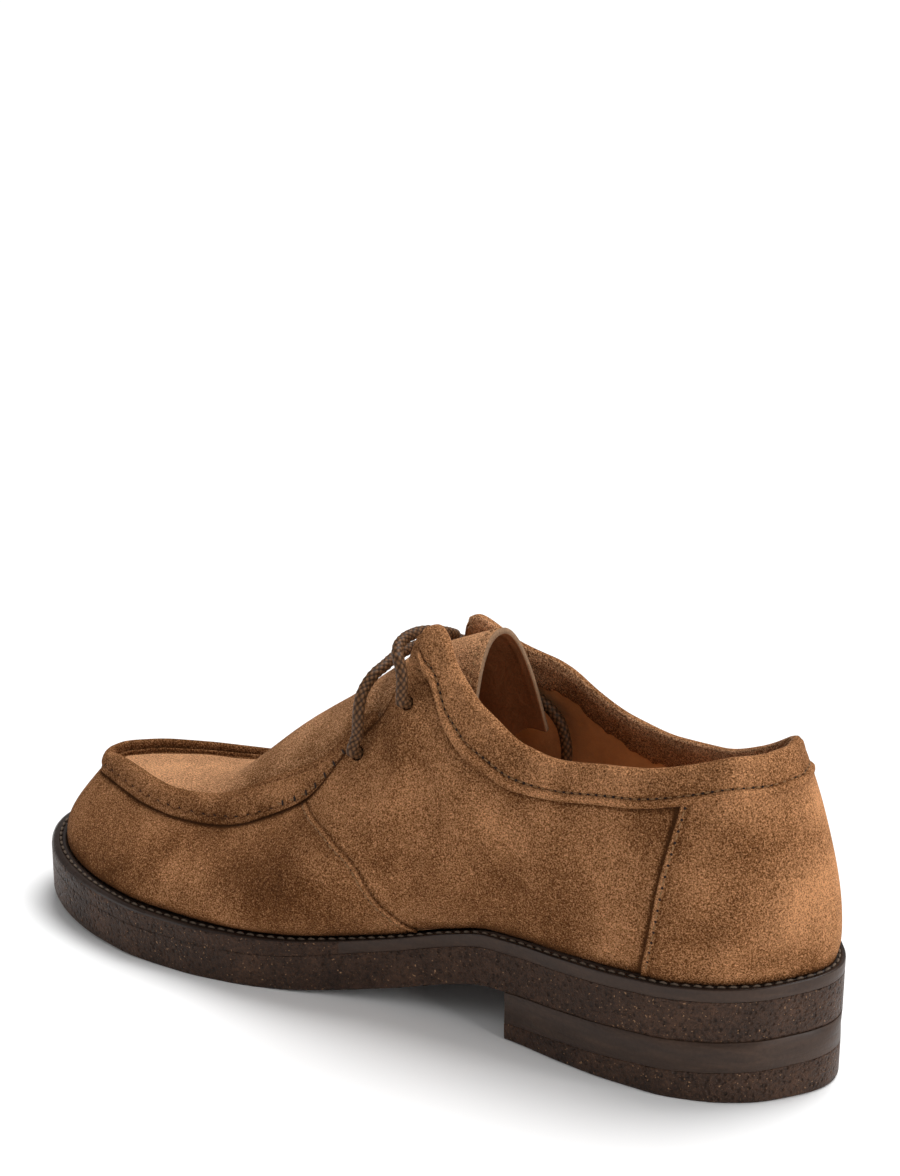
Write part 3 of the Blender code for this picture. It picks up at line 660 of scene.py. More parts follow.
def mark(obj, name, values):
    """Number on each point that a material reads by its name."""
    attribute = obj.data.attributes.new(name, "FLOAT", "POINT")
    attribute.data.foreach_set("value", np.asarray(values, np.float32).reshape(-1))


def dress(obj, *materials):
    for material in materials:
        obj.data.materials.append(material)


def apply(obj, modifier):
    only(obj)
    bpy.ops.object.modifier_apply(modifier=modifier.name)


def thicken(obj, thickness, inner=0, rim=0):
    """Gives a skin its thickness behind its face."""
    sheet = obj.modifiers.new("Thickness", "SOLIDIFY")
    sheet.thickness = thickness
    sheet.offset = -1.0
    sheet.use_even_offset = True
    sheet.use_quality_normals = True
    sheet.material_offset = inner
    sheet.material_offset_rim = rim
    apply(obj, sheet)


def punch(obj, hole_points, radius, depth):
    """Round holes through a skin."""
    for point, normal in hole_points:
        free_hands()
        bpy.ops.mesh.primitive_cylinder_add(vertices=28, radius=radius, depth=depth)
        drill = bpy.context.object
        drill.location = Vector(point + CENTRE)
        drill.rotation_mode = "QUATERNION"
        drill.rotation_quaternion = Vector(normal).to_track_quat("Z", "Y")
        bpy.context.view_layer.update()
        hole = obj.modifiers.new("Hole", "BOOLEAN")
        hole.operation = "DIFFERENCE"
        hole.object = drill
        hole.solver = "EXACT"
        apply(obj, hole)
        bpy.data.objects.remove(drill, do_unlink=True)
    only(obj)
    bpy.ops.object.shade_smooth_by_angle(angle=math.radians(45))


def settle(obj, slot, *nodes):
    """Puts a finished piece on the shoe."""
    free_hands()
    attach(obj, "root")
    if nodes:
        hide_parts(*nodes)
    return obj


def repeat(name, one, points, along, normals):
    """Copies of a small mesh, its X laid along each direction and its Z on each normal, as one object."""
    coordinates = np.zeros(len(one.data.vertices) * 3, np.float32)
    one.data.vertices.foreach_get("co", coordinates)
    shape = coordinates.reshape(-1, 3)
    faces = [tuple(face.vertices) for face in one.data.polygons]
    normals = normals / np.linalg.norm(normals, axis=1)[:, None]
    side = np.cross(normals, along)
    side /= np.linalg.norm(side, axis=1)[:, None]
    along = np.cross(side, normals)
    placed = (points[:, None, :] + shape[None, :, 0:1] * along[:, None, :]
              + shape[None, :, 1:2] * side[:, None, :] + shape[None, :, 2:3] * normals[:, None, :])
    all_faces = [tuple(index + copy * len(shape) for index in face)
                 for copy in range(len(points)) for face in faces]
    mesh = bpy.data.meshes.new(name)
    mesh.from_pydata((placed + CENTRE).reshape(-1, 3).tolist(), [], all_faces)
    mesh.shade_smooth()
    obj = bpy.data.objects.new(name, mesh)
    bpy.context.scene.collection.objects.link(obj)
    return obj


def one_stitch(length, width, rise):
    """A single stitch: a short thread whose ends dip into the leather."""
    free_hands()
    bpy.ops.mesh.primitive_uv_sphere_add(segments=8, ring_count=6, radius=0.5)
    obj = bpy.context.object
    bpy.ops.object.mode_set(mode="EDIT")
    bpy.ops.mesh.select_all(action="SELECT")
    bpy.ops.transform.rotate(value=math.pi / 2, orient_axis="Y", center_override=(0.0, 0.0, 0.0))
    bpy.ops.transform.resize(value=(length, width, width), center_override=(0.0, 0.0, 0.0))
    bpy.ops.object.mode_set(mode="OBJECT")
    for point in obj.data.vertices:
        point.co.z += rise * (1 - (2 * point.co.x / length) ** 2) - rise * 0.35
    return obj


def stitches(name, size, places, along, normals, finish="seam_thread", slot="brown_suede", flat=1.0):
    """A row of stitches: one is modelled from its length, width and rise, and copied to each place."""
    one = one_stitch(*size)
    for point in one.data.vertices:
        point.co.z *= flat
    row = repeat(name, one, places, along, normals)
    bpy.data.objects.remove(one, do_unlink=True)
    dress(row, finish_named(finish))
    settle(row, slot)


def panel(name, grid, thickness, finishes, nodes, turned=True, rings=None, inner=0, rim=0, pierced=False):
    """Leather panel with its wear and its painted shade and light, given a thickness behind its face and put
    on the shoe.

    turned is for rows that run up the wall, whose faces would look inwards otherwise.
    """
    points, wear_and_shade = grid
    if turned:
        points, wear_and_shade = points[::-1], wear_and_shade[::-1]
    obj = lay_grid(name, points, rings)
    mark(obj, "wear_and_shade", wear_and_shade)
    dress(obj, *(finish_named(finish) for finish in finishes))
    sew(obj, outward=False)
    thicken(obj, thickness, inner, rim)
    if pierced:
        punch(obj, eyelets(), DRILL_RADIUS, DRILL_DEPTH)
    settle(obj, "brown_suede", *nodes)


def tube(name, path, radius, relief):
    """Round tube along a path, closed at both ends, with a relief over its turns and its length."""
    ahead = np.gradient(path, axis=0)
    ahead /= np.linalg.norm(ahead, axis=1)[:, None]
    side = np.cross(ahead[0], (0.0, 0.0, 1.0))
    side /= np.linalg.norm(side)
    sides = []
    for direction in ahead:
        side = side - direction * (side @ direction)
        side /= np.linalg.norm(side)
        sides.append(side)
    sides = np.array(sides)
    third = np.cross(ahead, sides)
    around = np.linspace(0.0, 1.0, LACE_SIDES + 1)
    raised = relief(around[None, :], run(path)[:, None])
    reach = radius * (1 + raised)
    circle = (np.cos(2 * math.pi * around)[None, :, None] * sides[:, None, :]
              + np.sin(2 * math.pi * around)[None, :, None] * third[:, None, :])
    rings = path[:, None, :] + reach[:, :, None] * circle
    first = np.broadcast_to(path[0], rings[0].shape)
    last = np.broadcast_to(path[-1], rings[0].shape)
    obj = lay_grid(name, np.concatenate([first[None], rings, last[None]]))
    shade = np.concatenate([raised[:1], raised, raised[-1:]])
    mark(obj, "relief", shade)
    sew(obj)
    return obj


def braid(around, length):
    """Relief of a round braid: two sets of strands that cross over and under each other."""
    right = BRAID_STRANDS * around + length / BRAID_PITCH
    left = BRAID_STRANDS * around - length / BRAID_PITCH
    over = (np.floor(right) + np.floor(left)) % 2 < 1
    across = np.where(over, left % 1, right % 1)
    lengthwise = np.where(over, right % 1, left % 1)
    swell = np.sin(math.pi * across) ** 0.7 * (0.5 + 0.5 * np.sin(math.pi * lengthwise))
    return 0.16 * swell - BRAID_DEEP


def through_points(points, step):
    """Smooth path through points."""
    points = np.array(points)
    length = run(points)
    at = np.arange(0.0, length[-1], step)
    at = np.append(at, length[-1])
    return np.column_stack([smooth(list(zip(length, points[:, axis])), 1, at) for axis in range(3)])


# Materials

class Finish:
    """A material's nodes, laid out as they are needed."""

    def __init__(self, name):
        self.material = bpy.data.materials.new(name)
        self.material.use_nodes = True
        self.nodes = self.material.node_tree.nodes
        self.links = self.material.node_tree.links
        self.shader = self.nodes["Principled BSDF"]
        self.shader.inputs["Metallic"].default_value = 0.0
        self.place = self.nodes.new("ShaderNodeTexCoord").outputs["Object"]

    def set(self, **values):
        for socket, value in values.items():
            label = socket.replace("_", " ").title().replace("Ior", "IOR")
            self.shader.inputs[label].default_value = value

    def attribute(self, name):
        node = self.nodes.new("ShaderNodeAttribute")
        node.attribute_name = name
        return node.outputs["Fac"]

    def stretched(self, scale, turn=(0.0, 0.0, 0.0)):
        node = self.nodes.new("ShaderNodeMapping")
        node.inputs["Scale"].default_value = scale
        node.inputs["Rotation"].default_value = turn
        self.links.new(self.place, node.inputs["Vector"])
        return node.outputs["Vector"]

    def noise(self, scale, detail=2.0, rough=0.5, distortion=0.0, place=None):
        node = self.nodes.new("ShaderNodeTexNoise")
        node.inputs["Scale"].default_value = scale
        node.inputs["Detail"].default_value = detail
        node.inputs["Roughness"].default_value = rough
        node.inputs["Distortion"].default_value = distortion
        self.links.new(self.place if place is None else place, node.inputs["Vector"])
        return node.outputs["Fac"]

    def pits(self, scale):
        node = self.nodes.new("ShaderNodeTexVoronoi")
        node.inputs["Scale"].default_value = scale
        self.links.new(self.place, node.inputs["Vector"])
        return node.outputs["Distance"]

    def math(self, operation, first, second):
        node = self.nodes.new("ShaderNodeMath")
        node.operation = operation
        for socket, value in zip(node.inputs, (first, second)):
            if isinstance(value, float):
                socket.default_value = value
            else:
                self.links.new(value, socket)
        return node.outputs[0]

    def total(self, *parts):
        """Sum of values, each times its weight."""
        whole = None
        for value, weight in parts:
            part = self.math("MULTIPLY", value, weight)
            whole = part if whole is None else self.math("ADD", whole, part)
        return whole

    def spread(self, value, low, high):
        """Stretches a value so that low becomes 0 and high becomes 1."""
        node = self.nodes.new("ShaderNodeMapRange")
        node.inputs["From Min"].default_value = low
        node.inputs["From Max"].default_value = high
        self.links.new(value, node.inputs["Value"])
        return node.outputs["Result"]

    def ramp(self, value, *stops):
        node = self.nodes.new("ShaderNodeValToRGB")
        band = node.color_ramp
        while len(band.elements) < len(stops):
            band.elements.new(0.5)
        for element, (position, colour) in zip(band.elements, stops):
            element.position = position
            element.color = (*colour[:3], 1.0)
        self.links.new(value, node.inputs["Fac"])
        return node.outputs["Color"]

    def blend(self, share, first, second):
        node = self.nodes.new("ShaderNodeMix")
        node.data_type = "RGBA"
        self.links.new(share, node.inputs["Factor"])
        for socket, value in ((node.inputs[6], first), (node.inputs[7], second)):
            if isinstance(value, tuple):
                socket.default_value = (*value[:3], 1.0)
            else:
                self.links.new(value, socket)
        return node.outputs[2]

    def colour(self, value):
        self.links.new(value, self.shader.inputs["Base Color"])

    def roughness(self, value, factor, least):
        rough = self.math("ADD", self.math("MULTIPLY", value, factor), least)
        self.links.new(rough, self.shader.inputs["Roughness"])

    def relief(self, height, distance, strength=1.0, over=None):
        node = self.nodes.new("ShaderNodeBump")
        node.inputs["Distance"].default_value = distance
        node.inputs["Strength"].default_value = strength
        self.links.new(height, node.inputs["Height"])
        if over is not None:
            self.links.new(over, node.inputs["Normal"])
        self.links.new(node.outputs["Normal"], self.shader.inputs["Normal"])
        return node.outputs["Normal"]


# Colours of the sole's tan flecks, and of a needle hole: the painted shade of its depth and its frayed rim
FLECK = (0.30, 0.165, 0.085)
HOLE_SHADE = (0.012, 0.006, 0.003)
HOLE_RIM = (0.035, 0.018, 0.009)


def shades(colour, *factors):
    return [tuple(min(1.0, channel * factor) for channel in colour[:3]) for factor in factors]


def suede(name, colour):
    """Napped leather: brushed patches, a fine grain of light and dark specks, and the wear, painted shade and
    painted light that each piece carries in its wear_and_shade attribute.
    """
    look = Finish(name)
    patches = look.noise(21.0, 2.0, 0.45, 0.8, look.stretched((1.0, 1.0, 1.4)))
    brushed = look.noise(75.0, 3.0, 0.6, 0.4, look.stretched((1.0, 1.0, 0.5), (0.0, 0.5, 0.0)))
    grain = look.noise(900.0, 2.0, 0.6)
    specks = look.noise(2000.0, 2.0, 0.7)
    wear_and_shade = look.attribute("wear_and_shade")
    tone = look.total((patches, 0.95), (brushed, 0.45), (grain, 0.32), (specks, 2.20), (wear_and_shade, 1.0))
    tone = look.spread(tone, 1.50, 2.40)
    rich = (colour[0], colour[1] * 0.84, colour[2] * 0.64)
    paler = (colour[0], colour[1] * 1.05, colour[2] * 1.14)
    dark, deep = shades(rich, 0.26, 0.54)
    light, pale = shades(paler, 1.60, 2.45)
    sheen, = shades(colour, 2.6)
    look.colour(look.ramp(tone, (0.0, dark), (0.28, deep), (0.5, colour), (0.74, light), (1.0, pale)))
    look.set(roughness=0.95, sheen_weight=0.05, sheen_roughness=0.4, specular_ior_level=0.06)
    look.set(sheen_tint=(*sheen, 1.0))
    soft = look.relief(grain, 0.0014, 0.7)
    look.relief(specks, 0.0010, 0.95, soft)
    return look.material


def lining_leather(name, colour):
    """Smooth lining leather with pores, creases and polish."""
    look = Finish(name)
    mottle = look.noise(45.0, 3.0, 0.6)
    pores = look.noise(1300.0, 2.0, 0.5)
    tone = look.total((mottle, 0.8), (pores, 0.2))
    deep, middle, light = shades(colour, 0.72, 1.0, 1.25)
    look.colour(look.ramp(look.spread(tone, 0.3, 0.7), (0.0, deep), (0.5, middle), (1.0, light)))
    look.set(specular_ior_level=0.4)
    look.roughness(mottle, 0.3, 0.34)
    creased = look.relief(look.noise(110.0, 2.0, 0.5, 1.2), 0.0009, 0.5)
    look.relief(pores, 0.0002, 0.5, creased)
    return look.material


def cut_edge(name, colour):
    """Pale fibrous edge of cut leather."""
    look = Finish(name)
    fibres = look.noise(900.0, 3.0, 0.7)
    deep, light = shades(colour, 0.7, 1.2)
    look.colour(look.ramp(fibres, (0.3, deep), (0.7, light)))
    look.set(roughness=0.9)
    look.relief(fibres, 0.0005, 0.6)
    return look.material


def thread(name, colour):
    """Spun thread."""
    look = Finish(name)
    fibres = look.noise(2200.0, 2.0, 0.6)
    deep, light = shades(colour, 0.65, 1.3)
    look.colour(look.ramp(fibres, (0.3, deep), (0.7, light)))
    look.set(roughness=0.85, specular_ior_level=0.1)
    look.relief(fibres, 0.0003, 0.5)
    return look.material


def crumb(name, colour):
    """Pitted sole rubber with small tan flecks."""
    look = Finish(name)
    holes = look.pits(520.0)
    grain = look.noise(900.0, 3.0, 0.65)
    cloud = look.noise(60.0, 3.0, 0.6)
    flecks = look.spread(look.noise(1150.0, 1.0, 0.4), 0.71, 0.75)
    tone = look.total((grain, 0.6), (cloud, 0.5))
    deep, middle, light = shades(colour, 0.45, 1.0, 2.0)
    base = look.ramp(tone, (0.38, deep), (0.54, middle), (0.74, light))
    look.colour(look.blend(flecks, base, FLECK))
    look.set(specular_ior_level=0.20)
    look.roughness(grain, 0.5, 0.20)
    rough = look.relief(grain, 0.0012, 0.9)
    look.relief(look.spread(holes, 0.10, 0.45), 0.0011, 0.8, rough)
    return look.material


def satin(name, colour, least_rough, scuff_depth):
    """Smooth stained edge, waxed and slightly scuffed along its length."""
    look = Finish(name)
    scuffs = look.noise(160.0, 3.0, 0.6, 0.3, look.stretched((0.35, 0.35, 2.2)))
    dust = look.noise(800.0, 2.0, 0.6)
    tone = look.total((scuffs, 0.7), (dust, 0.3))
    deep, middle, light = shades(colour, 0.6, 1.0, 1.55)
    look.colour(look.ramp(tone, (0.3, deep), (0.52, middle), (0.75, light)))
    look.set(specular_ior_level=0.24)
    look.roughness(scuffs, 0.35, least_rough)
    look.relief(tone, scuff_depth, 0.5)
    return look.material


def waxed_cord(name, colour):
    """Waxed braid with painted shade between its strands and painted highlights on their crowns."""
    look = Finish(name)
    fibres = look.noise(1500.0, 2.0, 0.6)
    height = look.spread(look.attribute("relief"), -BRAID_DEEP, 0.06)
    tone = look.total((height, 0.75), (fibres, 0.35))
    dark, deep, light = shades(colour, 0.10, 0.60, 1.9)
    look.colour(look.ramp(tone, (0.20, dark), (0.58, deep), (1.0, light)))
    look.set(roughness=0.45, specular_ior_level=0.14)
    look.relief(fibres, 0.0002, 0.5)
    return look.material


def dark_hole(name, colour):
    """Needle hole and slit: painted shade of the hole, ringed with frayed leather."""
    look = Finish(name)
    look.colour(look.ramp(look.noise(1200.0), (0.3, HOLE_SHADE), (0.7, colour)))
    look.set(roughness=1.0)
    return look.material


def pale_floor(name, colour):
    look = Finish(name)
    look.colour(look.ramp(look.noise(3.0), (0.3, shades(colour, 0.995)[0]), (0.7, tuple(colour[:3]))))
    look.set(roughness=0.9, specular_ior_level=0.1)
    return look.material


# What a user can change

class ShoeSizes(bpy.types.PropertyGroup):
    """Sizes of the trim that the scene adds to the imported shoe."""

    skin: FloatProperty(name="Suede", description="Thickness of the suede", default=0.0013, unit="LENGTH")
    lining: FloatProperty(name="Lining", description="Thickness of the lining", default=0.0005, unit="LENGTH")
    lap: FloatProperty(name="Vamp edge", description="How far the vamp's edge stands proud", default=0.0006,
                       unit="LENGTH")
    welt_pitch: FloatProperty(name="Welt stitch", description="Distance between the stitches on the welt",
                              default=0.0036, unit="LENGTH")
    seam_pitch: FloatProperty(name="Seam stitch", description="Distance between the stitches of the seams",
                              default=0.0029, unit="LENGTH")
    hand_pitch: FloatProperty(name="Hand stitch", description="Distance between the apron's hand stitches",
                              default=0.0054, unit="LENGTH")
    floor: FloatProperty(name="Floor", description="Side of the floor", default=12.0, unit="LENGTH")


class ShoeColours(bpy.types.PropertyGroup):
    """Colours of the finishes."""

    suede: FloatVectorProperty(name="Suede", description="Brown suede", subtype="COLOR", size=3,
                               default=(0.290, 0.131, 0.054))
    apron: FloatVectorProperty(name="Apron suede", description="Brushed suede of the apron",
                               subtype="COLOR", size=3, default=(0.350, 0.172, 0.079))
    # Lighter than the outer suede: painted light on the lit inner face of the collar
    inside: FloatVectorProperty(name="Inner suede", description="Suede inside the collar",
                                subtype="COLOR", size=3, default=(0.360, 0.185, 0.092))
    lining: FloatVectorProperty(name="Lining", description="Tan lining leather", subtype="COLOR", size=3,
                                default=(0.600, 0.315, 0.145))
    # Darker than the lining: painted shade on the tongue's shaded underside
    tongue_lining: FloatVectorProperty(name="Tongue lining", description="Darker lining of the tongue",
                                       subtype="COLOR", size=3, default=(0.185, 0.066, 0.023))
    raw: FloatVectorProperty(name="Cut edge", description="Cut edges of the leather", subtype="COLOR", size=3,
                             default=(0.230, 0.130, 0.068))
    thread: FloatVectorProperty(name="Thread", description="Seam thread", subtype="COLOR", size=3,
                                default=(0.260, 0.140, 0.065))
    welt_thread: FloatVectorProperty(name="Welt thread", description="Thread on the welt",
                                     subtype="COLOR", size=3, default=(0.125, 0.092, 0.068))
    welt: FloatVectorProperty(name="Welt", description="Waxed top of the welt", subtype="COLOR", size=3,
                              default=(0.026, 0.016, 0.012))
    edge: FloatVectorProperty(name="Sole edge", description="Smooth stained edges", subtype="COLOR", size=3,
                              default=(0.043, 0.024, 0.0155))
    crumb: FloatVectorProperty(name="Sole", description="Pitted sole", subtype="COLOR", size=3,
                               default=(0.045, 0.022, 0.0125))
    lace: FloatVectorProperty(name="Lace", description="Waxed lace", subtype="COLOR", size=3,
                              default=(0.105, 0.050, 0.022))
    floor: FloatVectorProperty(name="Floor", description="Pale floor", subtype="COLOR", size=3,
                               default=(0.93, 0.93, 0.93))


def sizes():
    return bpy.context.scene.shoe_sizes


def finish_named(name):
    """The finish of that name, made when it is first asked for."""
    known = bpy.data.materials.get(name)
    if known:
        return known
    colours = bpy.context.scene.shoe_colours
    makers = {
        "suede": (suede, colours.suede),
        "apron_suede": (suede, colours.apron),
        "inner_suede": (suede, colours.inside),
        "lining": (lining_leather, colours.lining),
        "tongue_lining": (lining_leather, colours.tongue_lining),
        "raw_edge": (cut_edge, colours.raw),
        "seam_thread": (thread, colours.thread),
        "welt_thread": (thread, colours.welt_thread),
        "crumb": (crumb, colours.crumb),
        "lace": (waxed_cord, colours.lace),
        "lace_end_wax": (waxed_cord, colours.lace),
        "floor": (pale_floor, colours.floor),
        "needle_hole": (dark_hole, HOLE_RIM),
        "welt_top": (satin, colours.welt, 0.10, 0.0004),
        "sole_edge": (satin, colours.edge, 0.26, 0.0007),
    }
    if name not in makers:
        raise RuntimeError(f"no finish is called {name}")
    maker, colour, *polish = makers[name]
    return maker(name, tuple(colour), *polish)


# Surfaces of the dressed upper

# Rear edge of the vamp: height on the wall, share of the length
VAMP_EDGE = ((0.00, 0.4480), (0.06, 0.4647), (0.15, 0.4836), (0.315, 0.5060), (0.51, 0.5371), (0.66, 0.5594),
             (0.88, 0.5901), (1.00, 0.6040))

# Front edge of the heel counter: height on the wall, share of the length
COUNTER_FRONT = ((0.00, 0.1680), (0.285, 0.1565), (0.555, 0.1510), (0.735, 0.1464), (0.90, 0.1415),
                 (1.00, 0.1390))

# Creases pressed into the wall: side, the two ends as share of the length and height on the wall,
# then width and depth in metres; a negative depth is a ridge
CREASES = (
    # side, share, height, share, height, width, depth
    (-1, 0.455, 0.70, 0.400, 0.36, 0.0060, 0.00070),
    (-1, 0.440, 0.72, 0.365, 0.50, 0.0055, -0.00060),
    (-1, 0.500, 0.62, 0.455, 0.30, 0.0070, -0.00065),
    (-1, 0.520, 0.55, 0.490, 0.28, 0.0050, 0.00050),
    (-1, 0.330, 0.66, 0.255, 0.34, 0.0090, -0.00060),
    (-1, 0.300, 0.30, 0.215, 0.16, 0.0070, 0.00055),
    (-1, 0.250, 0.62, 0.190, 0.50, 0.0070, 0.00045),
    (-1, 0.045, 0.46, 0.050, 0.10, 0.0026, 0.00055),
    (-1, 0.024, 0.52, 0.030, 0.12, 0.0028, -0.00065),
    (-1, 0.070, 0.40, 0.078, 0.08, 0.0032, -0.00050),
    (-1, 0.100, 0.36, 0.108, 0.06, 0.0040, 0.00045),
    (-1, 0.640, 0.60, 0.720, 0.35, 0.0070, 0.00045),
    (-1, 0.700, 0.72, 0.820, 0.60, 0.0080, -0.00040),
    (-1, 0.860, 0.40, 0.930, 0.30, 0.0090, 0.00035),
    (1, 0.455, 0.66, 0.400, 0.40, 0.0060, 0.00060),
    (1, 0.500, 0.60, 0.440, 0.34, 0.0070, -0.00060),
    (1, 0.330, 0.60, 0.250, 0.30, 0.0080, 0.00050),
    (1, 0.060, 0.50, 0.064, 0.10, 0.0030, 0.00050),
    (1, 0.110, 0.44, 0.120, 0.10, 0.0040, -0.00045),
    (1, 0.690, 0.62, 0.790, 0.50, 0.0080, 0.00040),
)


def creased(turn, height):
    """How far the creases and the slack of the leather push the wall's skin in or out."""
    own, side = side_of(turn)
    rise = rise_of(turn)
    along = share_at(own) * LENGTH
    up = height * rise
    here = np.stack([along, up])
    push = np.zeros(np.shape(turn))
    for which, share_a, height_a, share_b, height_b, width, depth in CREASES:
        start = np.stack([np.full(np.shape(turn), share_a * LENGTH), height_a * rise])
        end = np.stack([np.full(np.shape(turn), share_b * LENGTH), height_b * rise])
        way = end - start
        t = np.clip(((here - start) * way).sum(0) / np.maximum((way * way).sum(0), 1e-12), 0.0, 1.0)
        away = np.linalg.norm(here - start - way * t, axis=0)
        fade = np.sin(math.pi * np.clip(t, 0.06, 0.94)) ** 0.6
        own_side = np.where(side == which, 1.0, 0.0)
        trough = bump_at(away, 0.0, width) - 0.45 * bump_at(away, 2.1 * width, width)
        push -= own_side * fade * depth * trough
    slack = (np.sin(61 * along + 1.7 + 3 * side) * np.sin(83 * up + 0.4) + np.sin(133 * along + 90 * up)
             * np.sin(47 * up - 60 * along + side))
    return push + 0.00022 * slack * np.sin(math.pi * np.clip(height, 0.0, 1.0))


def on_wall(turn, height, push):
    """Points of a skin that stands off the wall."""
    shape = np.shape(turn)
    flat = np.ravel(turn)
    high = np.ravel(height)
    point, normal, up = wall_frame(flat, high)
    return (point + normal * (np.ravel(push) + creased(flat, high))[:, None]).reshape(*shape, 3)


def fit_under(turn, height):
    """Lets the skin sink towards the welt, so that the seat looks pulled in."""
    return -SEAT_SINK * bump_at(height * rise_of(turn), 0.0, SEAT_REACH)


# Heights of the rows of a panel on the wall, closer together below the top line
HIGH = np.concatenate([np.linspace(0.0, 0.80, 30), np.linspace(0.80, 1.0, 20)[1:]])


def seam_turn(height, ahead=0.0):
    """Angle of the vamp's rear edge at each height."""
    return turn_at(smooth(VAMP_EDGE, 1, height) + ahead)


def columns(length, step, near):
    """Places across a panel from 0 to 1, close together at both of its ends."""
    close = np.array([0.0, 0.15, 0.35, 0.6, 0.9, 1.3, 1.9, 2.6, 3.4]) * near
    middle = np.linspace(4.4 * near, length - 4.4 * near, int(length / step))
    return np.concatenate([close, middle, (length - close)[::-1]]) / length


def from_ends(turn, height):
    """Distance along the wall from the nearer end of each row."""
    length = run(wall(turn.ravel(), height.ravel()).reshape(*turn.shape, 3))
    return np.minimum(length, length[:, -1:] - length)


def rounded(away):
    """Profile of a rounded edge: 0 at the edge and 1 from EDGE_ROUND on."""
    return np.sqrt(np.clip(1 - (1 - np.minimum(away / EDGE_ROUND, 1.0)) ** 2, 0.0, 1.0))


def vamp_skin():
    across = columns(0.400, 0.0010, 0.001)
    height = np.broadcast_to(HIGH[:, None], (len(HIGH), len(across)))
    start = seam_turn(HIGH)[:, None]
    turn = start + (2 * math.pi - 2 * start) * across[None, :]
    away = from_ends(turn, height)
    push = -0.0004 + (sizes().lap + 0.0004) * rounded(away) - 0.0003 * bump_at(away, 0.0026, 0.0007)
    push = push + fit_under(turn, height) - 0.0009 * bump_at(1 - height, 0.0, 0.035)
    # Painted shade: darker at the foot by the welt, at its lapped rear edge and along its top under the
    # apron's roll; the line just inside the edge is lighter (rubbed wear and painted highlight).
    wear_and_shade = (-0.34 * bump_at(height * rise_of(turn), 0.0, 0.0028)
            + bumps(away, ((-0.12, 0.0, 0.0004), (0.22, 0.0007, 0.0006)))
            - 0.60 * bump_at(1 - height, 0.0, 0.030) - 0.10)
    return on_wall(turn, height, push), wear_and_shade


def quarter_skin():
    across = columns(0.360, 0.0011, 0.001)
    height = np.broadcast_to(HIGH[:, None], (len(HIGH), len(across)))
    end = seam_turn(HIGH, 0.010)[:, None]
    turn = -end + 2 * end * across[None, :]
    away = from_ends(turn, height) - 0.003
    sunk = bump_at(np.minimum(away, 0.0), 0.0, 0.004) * (away < 0.012) * np.exp(-np.maximum(away, 0) / 0.006)
    share = share_at(turn)
    rise = rise_of(turn)
    below_band = (1 - height) * rise - band_width(turn)
    past_counter = (share - smooth(COUNTER_FRONT, 1, height * 1.14)) * LENGTH
    # Painted shade: darker at the foot by the welt, along its edge under the vamp's lap, just below the
    # collar band, along the top line at the throat and just ahead of the counter's edge.
    wear_and_shade = (-0.34 * bump_at(height * rise, 0.0, 0.0028)
            - 0.25 * bump_at(away, 0.0002, 0.0006) * (away > -0.002)
            - 0.40 * bump_at(below_band, 0.0, 0.0009) * (share < BAND_SPREAD[-1][0])
            - 0.60 * bump_at(1 - height, 0.0, 0.014) * (share > 0.49)
            - 0.60 * bump_at(past_counter, 0.0003, 0.0009))
    return on_wall(turn, height, fit_under(turn, height) - 0.0006 * sunk), wear_and_shade


def eyelets():
    found = []
    for share, height in (UPPER_EYELET, LOWER_EYELET):
        for side in (-1, 1):
            turn = np.array([float(turn_at(share)) * -side])
            point, normal, up = wall_frame(turn, np.array([height]))
            found.append((point[0], normal[0]))
    return found


def skin_plan(turn, across):
    """Top skin of the shoe: the tongue behind the throat runs on as the apron ahead of it."""
    top = wall(turn, np.ones(len(turn)))
    share = 0.5 - top[:, 0] / LENGTH
    ahead = ease(*TONGUE_BLEND, share)[:, None]
    behind_share = np.minimum(share, TONGUE[-1][0])
    behind = tongue(behind_share, across)
    behind[:, 0] = np.where(share > behind_share, top[:, 0], behind[:, 0])
    return behind * (1 - ahead) + apron(turn, across) * ahead


